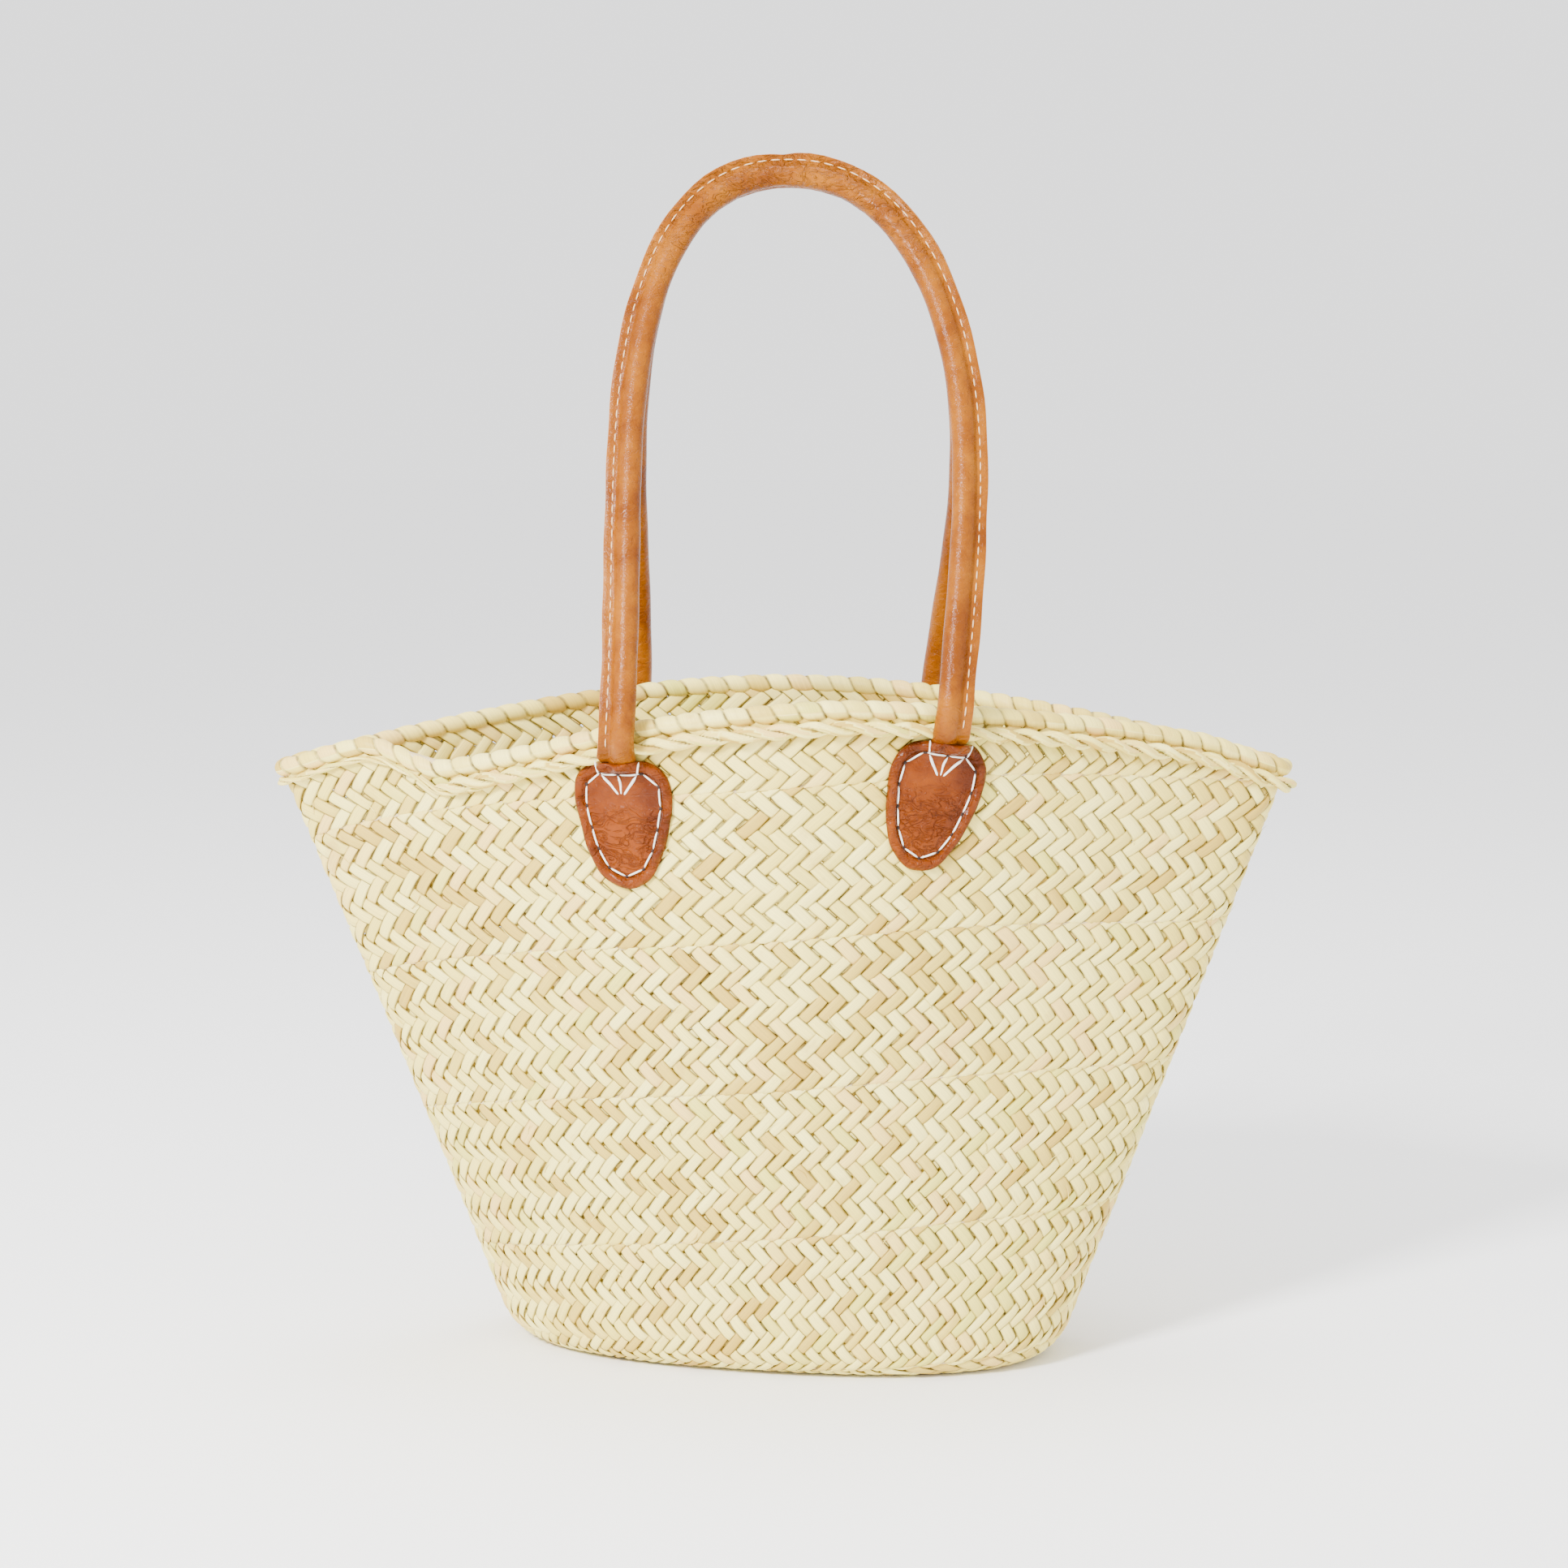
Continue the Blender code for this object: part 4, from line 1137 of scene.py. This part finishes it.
def outer_patch(side, hand, chance):
    """The padded shield. Its turned hem is gathered in puffs, and its edge isn't cut quite true."""
    shift = chance.uniform(0, math.tau, 4)
    edge_turn = math.tau * np.arange(PATCH_SEGMENTS) / PATCH_SEGMENTS
    waves = 0.00035 * np.sin(5 * edge_turn + shift[0]) + 0.0002 * np.sin(11 * edge_turn + shift[1])
    gathers = HEM_PUFF * np.sin(PUFF_COUNT * edge_turn + shift[2] + 0.8 * np.sin(3 * edge_turn))
    back = np.full(PATCH_SEGMENTS, PATCH_BACK)
    rings, lifts, creases = [], [], []
    hem_insets = np.linspace(0, HEM_ROOT, HEM_RINGS)
    field_insets = HEM_ROOT + (DEEPEST_INSET - HEM_ROOT) * np.linspace(0, 1, HEM_RINGS)[1:]
    for inset in np.concatenate([hem_insets, field_insets]):
        ring = patch_ring(inset)
        ring = ring + (PATCH_MIDDLE - ring) * (waves / EDGE_REACH)[:, None] * (inset < HEM_WIDTH)
        rings.append(ring)
        puffs = 1 + gathers * math.sin(math.pi * min(1, inset / HEM_WIDTH))
        base = patch_face(ring[:, 0], ring[:, 1], inset)
        lifts.append(PATCH_BASE + (base - PATCH_BASE) * puffs)
        lower = smoothstep(0.020, 0.034, ring[:, 1])
        creases.append(0.15 + 0.85 * lower * (inset > HEM_WIDTH * 0.9) + 0.35 * (inset < HEM_WIDTH))
    # Two rings behind the outermost one turn the edge in to the back
    grid = np.array([patch_ring(0.012), patch_ring(0.0004), *rings])
    lifts = np.array([back, back, *lifts])
    creases = [creases[0], creases[0], *creases]
    points, _ = patch_place(side, hand, grid[..., 0], grid[..., 1], lifts)
    hub_lifts = np.array([lifts[-1].mean(), PATCH_BACK])
    hubs, _ = patch_place(side, hand, np.zeros(2), PATCH_MIDDLE[[1, 1]], hub_lifts)
    crease = np.concatenate([np.array(creases).ravel(), [1, 0]])
    patch = make_mesh_object(
        f"{side}_{hand}_leather_patch",
        np.concatenate([points.reshape(-1, 3), hubs]),
        closed_patch_faces(len(grid)),
        patch_leather,
        "basket",
        crease=crease,
        raw_edge=np.zeros(len(crease)),
    )
    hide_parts(f"{side}_{hand}_patch")


HOLE_COUNT = 14
HOLE_RADIUS = 0.0009
HOLE_SIDES = 10
STITCH_RADIUS = 0.00048
STITCH_SAMPLES = 7
# Three long stitches fan up from one hole over the handle's tail, and one more ties each of its sides
FAN_FOOT = (0.0, 0.0180)
FAN_HALF = 0.0090
COLLAR_HALF = 0.0112

hole_line = patch_ring(HEM_WIDTH)
closed_line = np.concatenate([hole_line, hole_line[:1]])
hole_length = distance_along(closed_line)
hole_marks = hole_length[-1] * np.arange(HOLE_COUNT) / HOLE_COUNT
holes = np.stack([np.interp(hole_marks, hole_length, closed_line[:, k]) for k in range(2)], -1)


def hand_stitches(side, hand):
    """A ring of stitches that dip into the holes at their ends, and the five that hold the tail."""
    place_along = np.linspace(-1, 1, STITCH_SAMPLES)
    dip = 0.0007 * np.abs(place_along) ** 4
    stitches = []

    def stitch(run, inset, lift, radius):
        lift = patch_face(run[:, 0], run[:, 1], inset) + lift
        place, normal = patch_place(side, hand, run[:, 0], run[:, 1], lift)
        stitches.append(thread_parts(place, normal, radius))

    for first, second in zip(holes, np.roll(holes, -1, axis=0)):
        run = first + (second - first) * np.linspace(0.05, 0.95, STITCH_SAMPLES)[:, None]
        stitch(run, HEM_WIDTH, STITCH_RADIUS * 0.9 - dip, STITCH_RADIUS)
    for top in (-FAN_HALF, 0.0, FAN_HALF):
        run = np.linspace([top, 0.0068], [top * 0.08, FAN_FOOT[1] - 0.0004], STITCH_SAMPLES)
        stitch(run, HEM_WIDTH * 1.5, 0.0004, STITCH_RADIUS * (1.5 if top else 1.25))
    for end in (-COLLAR_HALF, COLLAR_HALF):
        run = np.linspace([end, -0.0004], [end * 0.9, 0.0058], STITCH_SAMPLES)
        stitch(run, HEM_WIDTH * 0.45, 0.0003, STITCH_RADIUS)
    sewing = make_mesh_object(f"{side}_{hand}_waxed_stitches", *join_parts(stitches), linen, "basket")
    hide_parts(f"{side}_{hand}_patch_stitching")


# Painted shade for the dark inside of an awl hole.
dark_dot_shading, tree, shader = new_material("painted_hole_shade")
shader.inputs["Base Color"].default_value = linear("#2E1A0E")
shader.inputs["Roughness"].default_value = 0.8


def awl_hole_shadows(side, hand):
    """A dark dot of painted shade round the ends of the stitches at each hole, a little proud of the
    leather.
    """
    turns = math.tau * np.arange(HOLE_SIDES) / HOLE_SIDES
    sides = [(i, (i + 1) % HOLE_SIDES) for i in range(HOLE_SIDES)]
    fan = [[i, after, HOLE_SIDES] for i, after in sides] + [[after, i, HOLE_SIDES + 1] for i, after in sides]
    dots = []
    for across, depth in [*holes, FAN_FOOT]:
        inset = HEM_WIDTH * (1.6 if (across, depth) == FAN_FOOT else 1.0)
        round_across = across + HOLE_RADIUS * np.append(np.cos(turns), [0, 0])
        round_depth = depth + HOLE_RADIUS * np.append(np.sin(turns), [0, 0])
        proud = np.append(np.full(HOLE_SIDES, 0.00012), [0.00030, -0.0006])
        lift = patch_face(round_across, round_depth, inset) + proud
        points, _ = patch_place(side, hand, round_across, round_depth, lift)
        dots.append((points, fan))
    marks = make_mesh_object(f"{side}_{hand}_awl_hole_shadows", *join_parts(dots), dark_dot_shading, "basket")


# Depths are in from the middle of the plait
INNER_BACK, INNER_EDGE = 0.0014, 0.0021
INNER_CROWN, INNER_BEVEL = 0.0012, 0.0015
INNER_RINGS = 14


def backing_patch(side, hand):
    """The inner patch, thinner and flat against the weave."""
    insets = np.linspace(0, DEEPEST_INSET, INNER_RINGS)
    lifts = [-(INNER_EDGE + INNER_CROWN * math.sqrt(min(1, inset / INNER_BEVEL))) for inset in insets]
    grid = np.array([patch_ring(0.010), *[patch_ring(inset) for inset in insets]])
    heights = np.broadcast_to(np.array([-INNER_BACK, *lifts])[:, None], grid.shape[:2])
    points, _ = patch_place(side, hand, grid[..., 0], grid[..., 1], heights)
    hub_lifts = np.array([lifts[-1], -INNER_BACK])
    hubs, _ = patch_place(side, hand, np.zeros(2), PATCH_MIDDLE[[1, 1]], hub_lifts)
    points = np.concatenate([points.reshape(-1, 3), hubs])
    backing = make_mesh_object(
        f"{side}_{hand}_backing_patch",
        points,
        [face[::-1] for face in closed_patch_faces(len(grid))],
        patch_leather,
        "basket",
        crease=np.full(len(points), 0.5),
        raw_edge=np.zeros(len(points)),
    )
    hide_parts(f"{side}_{hand}_inner_patch")


for number, corner in enumerate(("front_left", "front_right", "back_left", "back_right")):
    side, hand = corner.split("_")
    outer_patch(side, hand, np.random.default_rng(number))
    hand_stitches(side, hand)
    awl_hole_shadows(side, hand)
    backing_patch(side, hand)
